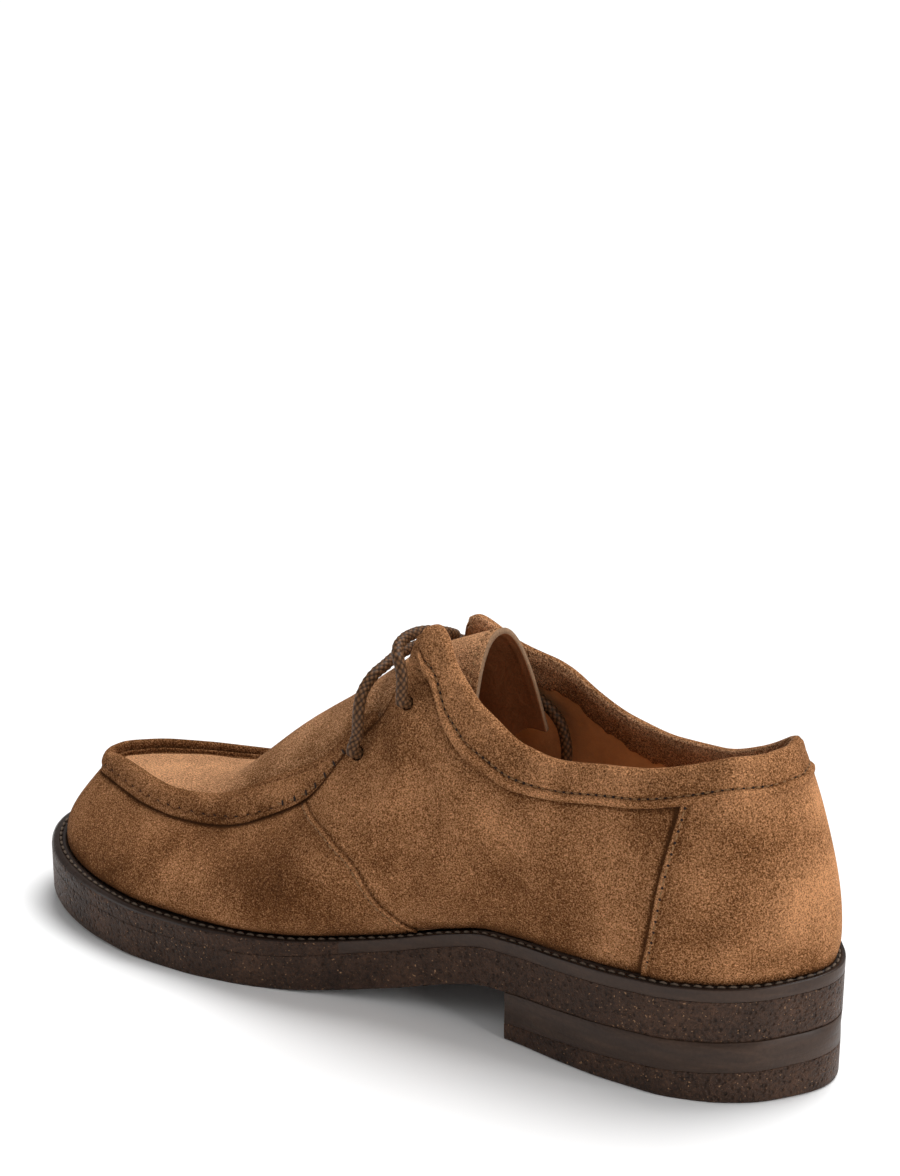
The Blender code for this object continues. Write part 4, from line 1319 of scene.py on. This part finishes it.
def apron_skin():
    """Rows along the shoe from the tongue's end to the tip of the toe."""
    turns = np.linspace(0.9, math.pi, 4000)
    share = 0.5 - wall(turns, np.ones(4000))[:, 0] / LENGTH
    crowded = CROWD_FROM + (TOE_TIP - CROWD_FROM) * np.sin(np.linspace(0, math.pi / 2, 170)[1:])
    rows = np.concatenate([np.linspace(TONGUE[0][0], CROWD_FROM, 130), crowded])
    turn = np.interp(rows, share, turns)
    turn[-1] = math.pi
    across = np.sin(np.linspace(-1.0, 1.0, 71) * math.pi / 2 * 0.94) / math.sin(math.pi / 2 * 0.94)
    grid_turn, grid_across = np.meshgrid(turn, across, indexing="ij")
    grid_share = np.broadcast_to(rows[:, None], grid_turn.shape)
    behind = 1 - ease(*TONGUE_BLEND, grid_share)
    inset = 1 - 0.012 * (1 - behind)
    points = skin_plan(grid_turn.ravel(), (grid_across * inset).ravel()).reshape(*grid_turn.shape, 3)
    edge_away = (1 - np.abs(grid_across)) * smooth(TONGUE, 1, grid_share) * HALF_BALL
    end_away = (grid_share - TONGUE[0][0]) * LENGTH
    away = np.minimum(edge_away * 1.25, end_away)
    soft = 0.00025 * (np.sin(150 * points[..., 0] + 2.0) * np.sin(190 * points[..., 1] + 1.0)
                      + np.sin(95 * points[..., 0] - 120 * points[..., 1]))
    groove = -0.00035 * bump_at(away, 0.0021, 0.0006) * behind
    tuck = -0.0020 * bump_at(1 - np.abs(grid_across), 0.0, 0.06) * (1 - behind)
    points[..., 2] += soft + groove + tuck
    # Painted light and shade: lighter over the top of the toe where the top light falls, darker at the folds
    # near the throat, along the apron's edges beside the roll and along the tongue's shaded sides.
    toe = ease(0.74, 0.86, grid_share) * 0.22 - 0.16 * bump_at(grid_share, 0.665, 0.045)
    dark_edges = -0.45 * bump_at(1 - np.abs(grid_across), 0.0, 0.20) * (1 - behind)
    dark_edges = dark_edges - 0.40 * bump_at(1 - np.abs(grid_across), 0.10, 0.30) * behind
    fold = -0.10 * bump_at(grid_share, 0.600, 0.035)
    return points, toe + dark_edges + fold + 0.05


# Section of the apron's roll: inwards as a share of its width, height over the apron as a share of its
# thickness, and how far a hand stitch pulls it in
ROLL_SECTION = (
    # inwards, height, pull
    (0.050, -0.360, 0.00),
    (0.020, -0.160, 0.00),
    (-0.030, -0.020, 0.00),
    (-0.055, 0.090, 0.00),
    (-0.045, 0.240, 0.00),
    (0.000, 0.380, 0.00),
    (0.060, 0.490, 0.00),
    (0.125, 0.560, 0.00),
    (0.165, 0.610, 0.10),
    (0.120, 0.600, 0.60),
    (0.050, 0.600, 1.00),
    (0.000, 0.650, 1.00),
    (-0.015, 0.750, 0.55),
    (0.010, 0.880, 0.25),
    (0.075, 1.000, 0.10),
    (0.175, 1.090, 0.00),
    (0.300, 1.130, 0.00),
    (0.420, 1.100, 0.00),
    (0.530, 1.000, 0.00),
    (0.610, 0.840, 0.00),
    (0.665, 0.630, 0.00),
    (0.695, 0.400, 0.00),
    (0.720, 0.260, 0.00),
    (0.755, 0.270, 0.00),
    (0.800, 0.370, 0.00),
    (0.850, 0.390, 0.00),
    (0.895, 0.310, 0.00),
    (0.925, 0.170, 0.00),
    (0.945, 0.090, 0.00),
    (0.975, 0.110, 0.00),
    (1.010, 0.060, 0.00),
    (1.040, -0.080, 0.00),
    (0.500, -0.400, 0.00),
    (0.050, -0.360, 0.00),
)

# Row of the section that the hand stitches pull most, a row near its inner side, how far its lip hangs down
# between the stitches, and how far a stitch pulls it in
ROLL_PINCH = 10
ROLL_INNER = 22
LOBE_DROP = 0.0009
STITCH_PULL = 0.0006

# Size of the roll: share of the length, width and thickness as shares of SEAM_WIDTH and SEAM_THICK
ROLL_SIZE = (
    # share, width, thickness
    (0.522, 0.02, 0.02),
    (0.530, 0.46, 0.22),
    (0.570, 0.66, 0.30),
    (0.600, 0.78, 0.42),
    (0.640, 0.92, 0.60),
    (0.700, 1.00, 0.88),
    (0.760, 1.00, 1.02),
    (0.900, 1.00, 1.04),
    (0.960, 0.90, 1.02),
    (1.000, 0.66, 1.00),
)


def roll_line():
    """Angles along the roll and, for each, its foot on the top line and the level inward direction."""
    start = float(turn_at(ROLL_SIZE[0][0]))
    dense = np.linspace(start, 2 * math.pi - start, 3000)
    turn = evenly(dense, wall(dense, np.ones(3000)), 0.00062)
    foot = wall(turn, np.ones(len(turn)))
    along = wall(turn + TURN_STEP, np.ones(len(turn))) - wall(turn - TURN_STEP, np.ones(len(turn)))
    inward = np.column_stack([along[:, 1], -along[:, 0], np.zeros(len(turn))])
    inward /= np.linalg.norm(inward, axis=1)[:, None]
    return turn, foot, inward


def stitch_pulls(length, pitch, width):
    """1 at each hand stitch and 0 between them."""
    return bump_at((length / pitch) % 1.0, 0.5, width / pitch)


def roll_points():
    turn, foot, inward = roll_line()
    share = share_at(side_of(turn)[0])
    wide = SEAM_WIDTH * smooth(ROLL_SIZE, 1, share)
    thick = SEAM_THICK * smooth(ROLL_SIZE, 2, share)
    length = run(foot)
    pitch = sizes().hand_pitch
    pulled = stitch_pulls(length, pitch, 0.0007)
    lobe = np.abs(np.cos(math.pi * length / pitch)) * smooth(ROLL_SIZE, 2, share)
    rows = []
    for inwards, height, pull in ROLL_SECTION:
        plan = foot + inward * (wide * inwards)[:, None]
        own, across = under_top_line(plan)
        base = apron(own, across)
        base[:, :2] = plan[:, :2]
        base[:, 2] += thick * height - LOBE_DROP * lobe * pull
        rows.append(base + inward * (STITCH_PULL * pulled * pull)[:, None])
    points = np.array(rows)
    inwards, height, pull = np.array(ROLL_SECTION).T
    row = np.arange(len(height))
    # Painted shade in the roll's grooves, at its lower edge and under its lip (more towards the toe), and in
    # the dimples the hand stitches pull; a little lighter on its crown.
    tone = (bumps(inwards, ((-0.30, 0.715, 0.03), (-0.25, 0.945, 0.03), (0.06, 0.3, 0.2)))
            + bumps(row, ((-0.85, 1.0, 1.4), (-0.75, 8.4, 0.9), (-0.60, 10.2, 0.8))))
    under = np.outer(bump_at(row, 8.5, 2.0), 0.12 * ease(0.62, 0.78, share))
    wear_and_shade = tone[:, None] - 0.5 * np.outer(pull, pulled) - under - 0.12
    return points, wear_and_shade


# Section of the collar band: distance below the top line as a share of its width there, how far it stands
# off the wall in metres
BAND_OUTER = ((1.000, -0.0002), (0.994, 0.0006), (0.975, 0.0012), (0.93, 0.0018), (0.86, 0.0020),
              (0.80, 0.0017), (0.760, 0.0010), (0.730, 0.0006), (0.700, 0.0006), (0.665, 0.0009),
              (0.60, 0.0011), (0.50, 0.0011),
              (0.38, 0.0010), (0.26, 0.0010), (0.15, 0.0010), (0.07, 0.0009), (0.02, 0.0006))
BAND_INNER = ((0.01, 0.0005), (0.05, 0.0009), (0.15, 0.0011), (0.30, 0.0011), (0.50, 0.0010), (0.72, 0.0011),
              (0.90, 0.0010), (0.97, 0.0007), (1.00, 0.0001))


def collar_turns(pitch=0.0011, trim=0.0):
    end = float(turn_at(BAND_SPREAD[-1][0] - trim))
    dense = np.linspace(-end, end, 3000)
    return evenly(dense, wall(dense, np.ones(3000)), pitch)


def band_width(turn):
    return smooth(BAND_SPREAD, 1, share_at(side_of(turn)[0])) * BAND_OUTSIDE


def band_points():
    turn = collar_turns()
    rise = rise_of(turn)
    width = band_width(turn)
    length = run(wall(turn, np.ones(len(turn))))
    rows = []
    for down, off in BAND_OUTER:
        height = 1 - down * width / rise
        point, normal, up = wall_frame(turn, height)
        wobble = 0.00012 * np.sin(length * 420 + 5 * down) + 0.00010 * np.sin(length * 170)
        rows.append(point + normal * (GAP * 0.5 + off + wobble * (down < 0.99))[:, None])
    point, normal, up = wall_frame(turn, np.ones(len(turn)))
    for out, rise_up in ((0.0002, 0.0011), (-0.0006, 0.0015), (-0.0013, 0.0015), (-0.0021, 0.0011)):
        rows.append(point + normal * out + up * rise_up)
    ragged = (0.05 * np.sin(length * 300) + 0.04 * np.sin(length * 710 + 1.0)
              + 0.03 * np.sin(length * 1330))
    for down, off in BAND_INNER:
        height = 1 - down * BAND_INSIDE * (1 + ragged * down) / rise
        point, normal, up = wall_frame(turn, height)
        rows.append(point - normal * (UPPER_WALL + off))
    points = np.array(rows)[::-1]
    down = np.array([down for down, off in BAND_OUTER])
    # Painted shade at the band's lower edge and in its stitch groove, with a lighter ridge between them.
    tone = bumps(down, ((-0.75, 1.0, 0.012), (0.10, 0.87, 0.05), (-0.40, 0.715, 0.022)))
    wear_and_shade = np.zeros(points.shape[:2])
    wear_and_shade[-len(down):] = tone[::-1, None]
    return points, wear_and_shade


def counter_points():
    across = columns(0.130, 0.0011, 0.0008)
    parts = np.concatenate([np.linspace(0.0, 0.97, 44), [0.985, 1.0]])
    front = turn_at(smooth(COUNTER_FRONT, 1, parts))[:, None]
    turn = -front + 2 * front * across[None, :]
    height = parts[:, None] * (1 - (band_width(turn) - 0.002) / rise_of(turn))
    away = from_ends(turn, height)
    push = -0.0003 + 0.0014 * rounded(away) - 0.0003 * bump_at(away, 0.0030, 0.0007)
    # Painted shade at the foot by the welt, at the counter's edge and in its stitch groove; its raised edge
    # lighter (rubbed wear and painted highlight), painted light round the back of the heel, and a lighter
    # patch on each side.
    wear_and_shade = (-0.30 * bump_at(height * rise_of(turn), 0.0, 0.0026)
            + bumps(away, ((-0.60, 0.0, 0.0004), (0.14, 0.0014, 0.0010), (-0.15, 0.0030, 0.0006)))
            + 0.10 * bump_at(turn, 0.0, 0.45) + 0.06
            + 0.12 * bump_at(np.abs(turn), 0.28, 0.20) * bump_at(height, 0.42, 0.16))
    return on_wall(turn, height, push + fit_under(turn, height)), wear_and_shade


# Sole

def sole_loop(count):
    return np.linspace(0.0, 2 * math.pi, count + 1)


def heel_loop():
    """Angles round the heel's arc: from the back along the medial side, and along the lateral side back to
    the back.
    """
    medial = float(turn_at(HEEL_LENGTH_MEDIAL / LENGTH))
    lateral = float(turn_at(HEEL_LENGTH_LATERAL / LENGTH))
    return np.linspace(0.0, medial, 121), np.linspace(-lateral, 0.0, 121)


def heel_ring(inset, height_of):
    """Ring round the heel block, with its breast, at an inset."""
    medial, lateral = heel_loop()
    first = level(medial, inset, height_of)
    last = level(lateral, inset, height_of)
    shift = np.array([inset, 0.0, 0.0])
    breast = np.linspace(first[-1] + shift, last[0] + shift, 42)[1:-1]
    breast[:, 2] = height_of(0.5 - breast[:, 0] / LENGTH)
    return np.concatenate([first, breast, last])


def across_pairs(ring):
    """Middle line of a loop: each point joins the one opposite."""
    return (ring + ring[::-1]) / 2


def filled(rings):
    """Rows of a closed block: its rings, with both ends drawn in to their middle lines."""
    shares = (0.0, 0.25, 0.5, 0.75, 0.92)
    low = [across_pairs(rings[0]) * (1 - share) + rings[0] * share for share in shares]
    high = [across_pairs(rings[-1]) * (1 - share) + rings[-1] * share for share in reversed(shares)]
    return np.array([*low, *rings, *high])


def lifted(height_of, rise):
    """The same height, lifted by a rise."""
    return lambda share: height_of(share) + rise


def halfway(low, high):
    """Height in the middle between two others."""
    return lambda share: (low(share) + high(share)) / 2


def ground(share):
    """Height of the floor under the shoe."""
    return 0 * share


def block(name, rings, *materials):
    obj = lay_grid(name, filled(rings)[::-1])
    dress(obj, *materials)
    sew(obj)
    only(obj)
    bpy.ops.object.shade_smooth_by_angle(angle=math.radians(50))
    return obj


def worn_edge(ring, amount):
    """Slightly ragged lower edge of the sole."""
    length = run(ring)
    wave = (np.sin(length * 900) + np.sin(length * 1730 + 1.0) + np.sin(length * 3100 + 2.0)) / 3
    raised = ring.copy()
    closed = ease(0.0, 0.01, length) * ease(0.0, 0.01, length[-1] - length)
    raised[:, 2] += amount * (0.5 + 0.5 * wave) * closed
    return raised


# The pieces

class SHOE_OT_stage(bpy.types.Operator):
    """Pale floor, soft studio light and the camera"""

    bl_idname = "shoe.stage"
    bl_label = "Floor, light and camera"

    def execute(self, context):
        free_hands()
        bpy.ops.mesh.primitive_plane_add(size=sizes().floor)
        floor = context.object
        floor.name = "floor"
        dress(floor, finish_named("floor"))
        away = Vector((math.sin(VIEW_TURN) * math.cos(VIEW_RISE), -math.cos(VIEW_TURN) * math.cos(VIEW_RISE),
                       math.sin(VIEW_RISE)))
        bpy.ops.object.camera_add(location=Vector(VIEW_TARGET) + away * VIEW_DISTANCE,
                                  rotation=(math.pi / 2 - VIEW_RISE, 0.0, VIEW_TURN))
        camera = context.object
        camera.name = "photo_camera"
        camera.data.lens = VIEW_LENS
        camera.data.shift_x, camera.data.shift_y = VIEW_SHIFT
        camera.data.clip_start = 0.01
        context.scene.camera = camera
        for name, place, target, size, power in LIGHTS:
            bpy.ops.object.light_add(type="AREA", location=place)
            light = context.object
            light.name = name
            light.rotation_euler = (Vector(target) - Vector(place)).to_track_quat("-Z", "Y").to_euler()
            light.data.shape = "RECTANGLE"
            light.data.size, light.data.size_y = size
            light.data.energy = power
        bpy.ops.object.light_add(type="SUN", location=OVERHEAD_FROM)
        overhead = context.object
        overhead.name = "overhead_light"
        overhead.rotation_euler = Vector(OVERHEAD_FROM).to_track_quat("Z", "Y").to_euler()
        overhead.data.energy = OVERHEAD_LIGHT
        overhead.data.angle = OVERHEAD_ANGLE
        world = bpy.data.worlds.new("studio")
        world.use_nodes = True
        world.node_tree.nodes["Background"].inputs["Color"].default_value = (1.0, 1.0, 1.0, 1.0)
        world.node_tree.nodes["Background"].inputs["Strength"].default_value = WORLD_LIGHT
        context.scene.world = world
        context.scene.view_settings.view_transform = "Standard"
        return {"FINISHED"}


class SHOE_OT_laces(bpy.types.Operator):
    """Waxed braided lace: two crossings through the eyelets and the loose end inside the shoe"""

    bl_idname = "shoe.laces"
    bl_label = "Laces"

    def execute(self, context):
        upper_near, upper_far, lower_near, lower_far = eyelets()
        inside = UPPER_WALL + 2 * LACE_CLEAR
        for name, near, far, crossing in (("lace_crossing_lower", lower_near, lower_far, LOWER_CROSSING),
                                          ("lace_crossing_upper", upper_near, upper_far, UPPER_CROSSING)):
            steps = (-inside, LACE_CLEAR, LACE_STUB)
            points = [near[0] + near[1] * step for step in steps] + route(crossing)
            points += [far[0] + far[1] * step for step in reversed(steps)]
            lace = tube(name, through_points(points, LACE_STEP), LACE_WIDTH / 2, braid)
            dress(lace, finish_named("lace"))
            settle(lace, "taupe_lace", name.replace("crossing", "bar"))
        start = upper_far[0] - upper_far[1] * inside
        path = through_points([start, *route(INNER_END)], LACE_STEP)
        end = tube("loose_lace_end", path, LACE_WIDTH / 2, braid)
        dress(end, finish_named("lace"))
        settle(end, "taupe_lace", "lace_end")
        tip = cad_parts["lace_tip"]
        tip.data.materials.clear()
        dress(tip, finish_named("lace_end_wax"))
        return {"FINISHED"}


class SHOE_OT_sole(bpy.types.Operator):
    """Pitted outsole and heel top piece with the smooth lift between them"""

    bl_idname = "shoe.sole"
    bl_label = "Outsole and heel"

    def execute(self, context):
        turn = sole_loop(620)
        rings = [
            level(turn, SOLE_EDGE, underside),
            level(turn, SOLE_EDGE * 0.35, lifted(underside, SOLE_EDGE * 0.25)),
            worn_edge(level(turn, 0.0, lifted(underside, SOLE_EDGE)), RAGGED_EDGE),
            level(turn, 0.0, halfway(underside, outsole_top)),
            level(turn, 0.0, lifted(outsole_top, -SOFT_EDGE)),
            level(turn, SOFT_EDGE * 0.3, lifted(welt_floor, -SOFT_EDGE * 0.3)),
            level(turn, SOFT_EDGE, welt_floor),
        ]
        settle(block("crepe_outsole", rings, finish_named("crumb")), "pitted_sole", "outsole")
        flat = [
            heel_ring(SOLE_EDGE, ground),
            heel_ring(SOLE_EDGE * 0.35, lifted(ground, SOLE_EDGE * 0.3)),
            worn_edge(heel_ring(0.0, lifted(ground, SOLE_EDGE)), RAGGED_EDGE),
            heel_ring(0.0, lifted(top_piece_top, -SOFT_EDGE)),
            heel_ring(SOFT_EDGE, top_piece_top),
        ]
        settle(block("crepe_top_piece", flat, finish_named("crumb")), "pitted_sole", "heel_top_piece")
        lift = [
            heel_ring(SOFT_EDGE, top_piece_top),
            heel_ring(0.0, lifted(top_piece_top, SOFT_EDGE)),
            heel_ring(SOFT_EDGE, halfway(top_piece_top, underside)),
            heel_ring(0.0, lifted(underside, -SOFT_EDGE)),
            heel_ring(SOFT_EDGE, underside),
        ]
        settle(block("stained_lift", lift, finish_named("sole_edge")), "smooth_sole", "heel_lift")
        return {"FINISHED"}


class SHOE_OT_welt(bpy.types.Operator):
    """Waxed welt round the foot, rounded at its edge, with its row of stitches"""

    bl_idname = "shoe.welt"
    bl_label = "Welt"

    def execute(self, context):
        turn = sole_loop(720)
        share = share_at(turn)
        rounding = smooth(WELT_ROUND, 1, share) * WELT_EDGE
        up = np.array([0.0, 0.0, 1.0])
        rows = [level(turn, inset, lifted(welt_floor, rise)) for inset, rise in WELT_CORNER]
        side_rows = len(rows) - 1
        for part in np.linspace(0.0, math.pi / 2, WELT_ROUND_ROWS):
            fall = rounding * (1 - math.sin(part))
            rows.append(level(turn, rounding * (1 - math.cos(part)), welt_top) - np.outer(fall, up))
        ledge_width = ledge(turn)
        for place, dip in WELT_FACE:
            inset = np.maximum(ledge_width * place, rounding)
            rows.append(level(turn, inset, welt_top) - up * dip)
        rows.append(level(turn, WELT_STRIP, welt_top) - up * WELT_TUCK)
        rows.append(rows[0])
        points = np.array(rows)
        side = np.arange(len(rows) - 1)[:, None] < side_rows + 3
        toe = (share[:-1] + share[1:])[None, :] / 2 > WELT_JOINT
        welt = lay_grid("stitched_welt", points, np.where(side, np.where(toe, 2, 1), 0))
        dress(welt, finish_named("welt_top"), finish_named("sole_edge"), finish_named("crumb"))
        sew(welt)
        settle(welt, "smooth_sole", "welt")
        dense = np.linspace(0.0, 2 * math.pi, 4000)
        line = level(dense, ledge(dense) * STITCH_LINE, welt_top)
        at = evenly(dense, line, sizes().welt_pitch)[:-1]
        place = level(at, ledge(at) * STITCH_LINE, welt_top) - up * STITCH_SINK
        ahead = level(at + TURN_STEP, ledge(at) * STITCH_LINE, welt_top) - place
        stitches("welt_stitches", WELT_STITCH, place, ahead, np.broadcast_to(up, place.shape), "welt_thread",
                 "smooth_sole")
        return {"FINISHED"}


class SHOE_OT_footbed(bpy.types.Operator):
    """Leather finish for the footbed"""

    bl_idname = "shoe.footbed"
    bl_label = "Footbed"

    def execute(self, context):
        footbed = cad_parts["insole"]
        footbed.data.materials.clear()
        dress(footbed, finish_named("lining"))
        return {"FINISHED"}


class SHOE_OT_quarters(bpy.types.Operator):
    """Suede quarters round the back, with their lace holes and creases"""

    bl_idname = "shoe.quarters"
    bl_label = "Quarters"

    def execute(self, context):
        panel("suede_quarters", quarter_skin(), sizes().skin, ("suede", "raw_edge"), ("upper",), pierced=True)
        return {"FINISHED"}


class SHOE_OT_vamp(bpy.types.Operator):
    """Suede vamp round the toe, its rear edges lapped over the quarters"""

    bl_idname = "shoe.vamp"
    bl_label = "Vamp"

    def execute(self, context):
        panel("suede_vamp", vamp_skin(), sizes().skin, ("suede",), ("upper",))
        return {"FINISHED"}


class SHOE_OT_lining(bpy.types.Operator):
    """Tan leather lining inside the quarters and the vamp"""

    bl_idname = "shoe.lining"
    bl_label = "Lining"

    def execute(self, context):
        turn = sole_loop(300)
        high = np.linspace(0.01, 0.992, 40)
        grid_turn = np.broadcast_to(turn, (len(high), len(turn)))
        grid_high = np.broadcast_to(high[:, None], grid_turn.shape)
        inner = -(UPPER_WALL - sizes().lining) + 0.00018 * np.sin(9 * grid_turn) * np.sin(14 * grid_high)
        lining = lay_grid("leather_lining", on_wall(grid_turn, grid_high, inner)[::-1])
        dress(lining, finish_named("lining"))
        sew(lining, outward=False)
        thicken(lining, sizes().lining)
        punch(lining, eyelets(), DRILL_RADIUS, DRILL_DEPTH)
        settle(lining, "tan_lining", "upper")
        return {"FINISHED"}


class SHOE_OT_apron(bpy.types.Operator):
    """Apron of the toe that runs on under the lacing as the tongue, lined with leather"""

    bl_idname = "shoe.apron"
    bl_label = "Apron and tongue"

    def execute(self, context):
        panel("suede_apron", apron_skin(), APRON_SKIN, ("apron_suede", "tongue_lining", "raw_edge"),
              ("upper", "tongue"), turned=False, inner=1, rim=2)
        return {"FINISHED"}


class SHOE_OT_roll(bpy.types.Operator):
    """Hand stitched roll where the apron meets the vamp"""

    bl_idname = "shoe.roll"
    bl_label = "Apron roll"

    def execute(self, context):
        points, wear_and_shade = roll_points()
        roll = lay_grid("suede_roll", points)
        mark(roll, "wear_and_shade", wear_and_shade)
        dress(roll, finish_named("suede"))
        sew(roll, near=3e-5)
        settle(roll, "brown_suede", "apron_seam")
        return {"FINISHED"}


class SHOE_OT_collar(bpy.types.Operator):
    """Suede binding folded over the top line"""

    bl_idname = "shoe.collar"
    bl_label = "Collar band"

    def execute(self, context):
        points, wear_and_shade = band_points()
        outer = len(BAND_OUTER) + 2
        rings = [1] * (len(points) - 1 - outer) + [0] * outer
        panel("suede_collar", (points, wear_and_shade), BAND_SKIN, ("suede", "inner_suede"), ("collar_band",),
              turned=False, rings=rings)
        return {"FINISHED"}


class SHOE_OT_counter(bpy.types.Operator):
    """Suede counter over the back of the quarters"""

    bl_idname = "shoe.counter"
    bl_label = "Heel counter"

    def execute(self, context):
        panel("suede_counter", counter_points(), COUNTER_SKIN, ("suede",), ("heel_counter",))
        return {"FINISHED"}


def seam_row(name, points, away, pitch, size, hole):
    """Rows of stitches on a panel, at a distance from each of its two ends."""
    length = run(points)
    total = length[:, -1]
    places, along, normals = [], [], []
    for from_end in (False, True):
        line, facing = [], []
        for row in range(1, len(points) - 1):
            at = total[row] - away if from_end else away
            column = int(np.clip(np.searchsorted(length[row], at), 1, points.shape[1] - 2))
            part = (at - length[row, column - 1]) / (length[row, column] - length[row, column - 1])
            line.append(points[row, column - 1] * (1 - part) + points[row, column] * part)
            facing.append(np.cross(points[row + 1, column] - points[row - 1, column],
                                   points[row, column + 1] - points[row, column - 1]))
        line, facing = np.array(line), np.array(facing)
        index = np.arange(len(line), dtype=float)
        at = evenly(index, line, pitch)[1:-1]
        place = np.column_stack([np.interp(at, index, line[:, axis]) for axis in range(3)])
        normal = np.column_stack([np.interp(at, index, facing[:, axis]) for axis in range(3)])
        places.append(place)
        along.append(np.gradient(place, axis=0))
        normals.append(normal / np.linalg.norm(normal, axis=1)[:, None])
    places, along, normals = np.concatenate(places), np.concatenate(along), np.concatenate(normals)
    stitches(name, size, places, along, normals)
    between = places + along / np.linalg.norm(along, axis=1)[:, None] * pitch / 2
    needle_holes(f"{name}_holes", hole, between, along, normals)


def needle_holes(name, size, places, along, normals):
    """Small needle holes or slits, made like very flat stitches that carry the painted shade of a hole."""
    stitches(name, (*size, 0.0), places, along, normals, "needle_hole", flat=HOLE_FLAT)


class SHOE_OT_stitching(bpy.types.Operator):
    """Stitches and needle holes of the vamp, counter, collar, tongue and apron"""

    bl_idname = "shoe.stitching"
    bl_label = "Stitching"

    def execute(self, context):
        pitch = sizes().seam_pitch
        seam_row("vamp_stitches", vamp_skin()[0], VAMP_ROW, pitch, VAMP_STITCH, VAMP_HOLE)
        seam_row("counter_stitches", counter_points()[0], COUNTER_ROW, COUNTER_PITCH, COUNTER_STITCH,
                 COUNTER_HOLE)
        self.collar_row(COLLAR_PITCH)
        self.tongue_row(pitch)
        self.apron_row()
        return {"FINISHED"}

    def collar_row(self, pitch):
        turn = collar_turns(pitch, 0.004)
        point, normal, up = wall_frame(turn, 1 - 0.71 * band_width(turn) / rise_of(turn))
        place = point + normal * 0.00080
        along, normal = np.diff(place, axis=0), normal[:-1]
        stitches("collar_stitches", COLLAR_STITCH, place[:-1], along, normal)
        needle_holes("collar_stitch_holes", COLLAR_HOLE, (place[:-1] + place[1:]) / 2, along, normal)

    def tongue_row(self, pitch):
        share = np.linspace(0.560, 0.4185, 300)
        rim = 1 - TONGUE_ROW / (smooth(TONGUE, 1, share) * HALF_BALL)
        end = np.linspace(1.0, -1.0, 200) * rim[-1]
        shares = np.concatenate([share, np.full(200, share[-1]), share[::-1]])
        across = np.concatenate([rim, end, -rim[::-1]])
        line = tongue(shares, across)
        at = evenly(np.arange(len(shares), dtype=float), line, pitch)
        place = np.column_stack([np.interp(at, np.arange(len(shares)), line[:, axis]) for axis in range(3)])
        where = np.interp(at, np.arange(len(shares)), shares)
        aside = np.interp(at, np.arange(len(shares)), across)
        lengthwise = tongue(where + 0.002, aside) - tongue(where - 0.002, aside)
        crosswise = tongue(where, aside + 0.01) - tongue(where, aside - 0.01)
        normal = np.cross(crosswise, lengthwise)
        normal *= np.sign(normal[:, 2:3])
        stitches("tongue_stitches", TONGUE_STITCH, place[:-1], np.diff(place, axis=0), normal[:-1])

    def apron_row(self):
        points = roll_points()[0]
        turn, foot, inward = roll_line()
        pitch = sizes().hand_pitch
        length = run(foot)
        numbers = range(2, int(length[-1] / pitch) - 2)
        at = np.array([int(np.argmin(abs(length - (number + 0.5) * pitch))) for number in numbers])
        share = share_at(side_of(turn[at])[0])
        row = np.where(share < 0.640, ROLL_PINCH + 3, ROLL_PINCH + 1)
        along = points[row + 2, at] - points[row - 1, at]
        aside = points[row, at + 2] - points[row, at - 2]
        normal = np.cross(along, aside)
        normal *= np.sign((normal * (foot[at] - points[ROLL_INNER, at])).sum(1))[:, None]
        middle = points[row, at] + normal / np.linalg.norm(normal, axis=1)[:, None] * 0.0001
        step = aside / np.linalg.norm(aside, axis=1)[:, None]
        needle_holes("apron_slits", HAND_SLIT, middle, along + aside * 0.5, normal)
        stitches("apron_hand_stitches", HAND_STITCH, middle + step * 0.0013, along * 0.3 + aside, normal)


class SHOE_PT_panel(bpy.types.Panel):
    """Buttons for the shoe's pieces"""

    bl_label = "Suede shoe"
    bl_idname = "SHOE_PT_panel"
    bl_space_type = "VIEW_3D"
    bl_region_type = "UI"
    bl_category = "Shoe"

    def draw(self, context):
        layout = self.layout
        for name in ShoeSizes.__annotations__:
            layout.prop(context.scene.shoe_sizes, name)
        for name in ShoeColours.__annotations__:
            layout.prop(context.scene.shoe_colours, name)
        for piece in PIECES:
            layout.operator(piece.bl_idname)


# The stage and the laces come first, then the sole, and the trim last
PIECES = (
    SHOE_OT_stage,
    SHOE_OT_laces,
    SHOE_OT_sole,
    SHOE_OT_welt,
    SHOE_OT_footbed,
    SHOE_OT_quarters,
    SHOE_OT_vamp,
    SHOE_OT_lining,
    SHOE_OT_apron,
    SHOE_OT_roll,
    SHOE_OT_collar,
    SHOE_OT_counter,
    SHOE_OT_stitching,
)


def register():
    for group in (ShoeSizes, ShoeColours, *PIECES, SHOE_PT_panel):
        bpy.utils.register_class(group)
    bpy.types.Scene.shoe_sizes = PointerProperty(type=ShoeSizes)
    bpy.types.Scene.shoe_colours = PointerProperty(type=ShoeColours)


def unregister():
    del bpy.types.Scene.shoe_colours
    del bpy.types.Scene.shoe_sizes
    for group in reversed((ShoeSizes, ShoeColours, *PIECES, SHOE_PT_panel)):
        bpy.utils.unregister_class(group)


def main():
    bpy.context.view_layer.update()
    register()
    for piece in PIECES:
        group, name = piece.bl_idname.split(".")
        getattr(getattr(bpy.ops, group), name)()


if __name__ == "__main__":
    main()
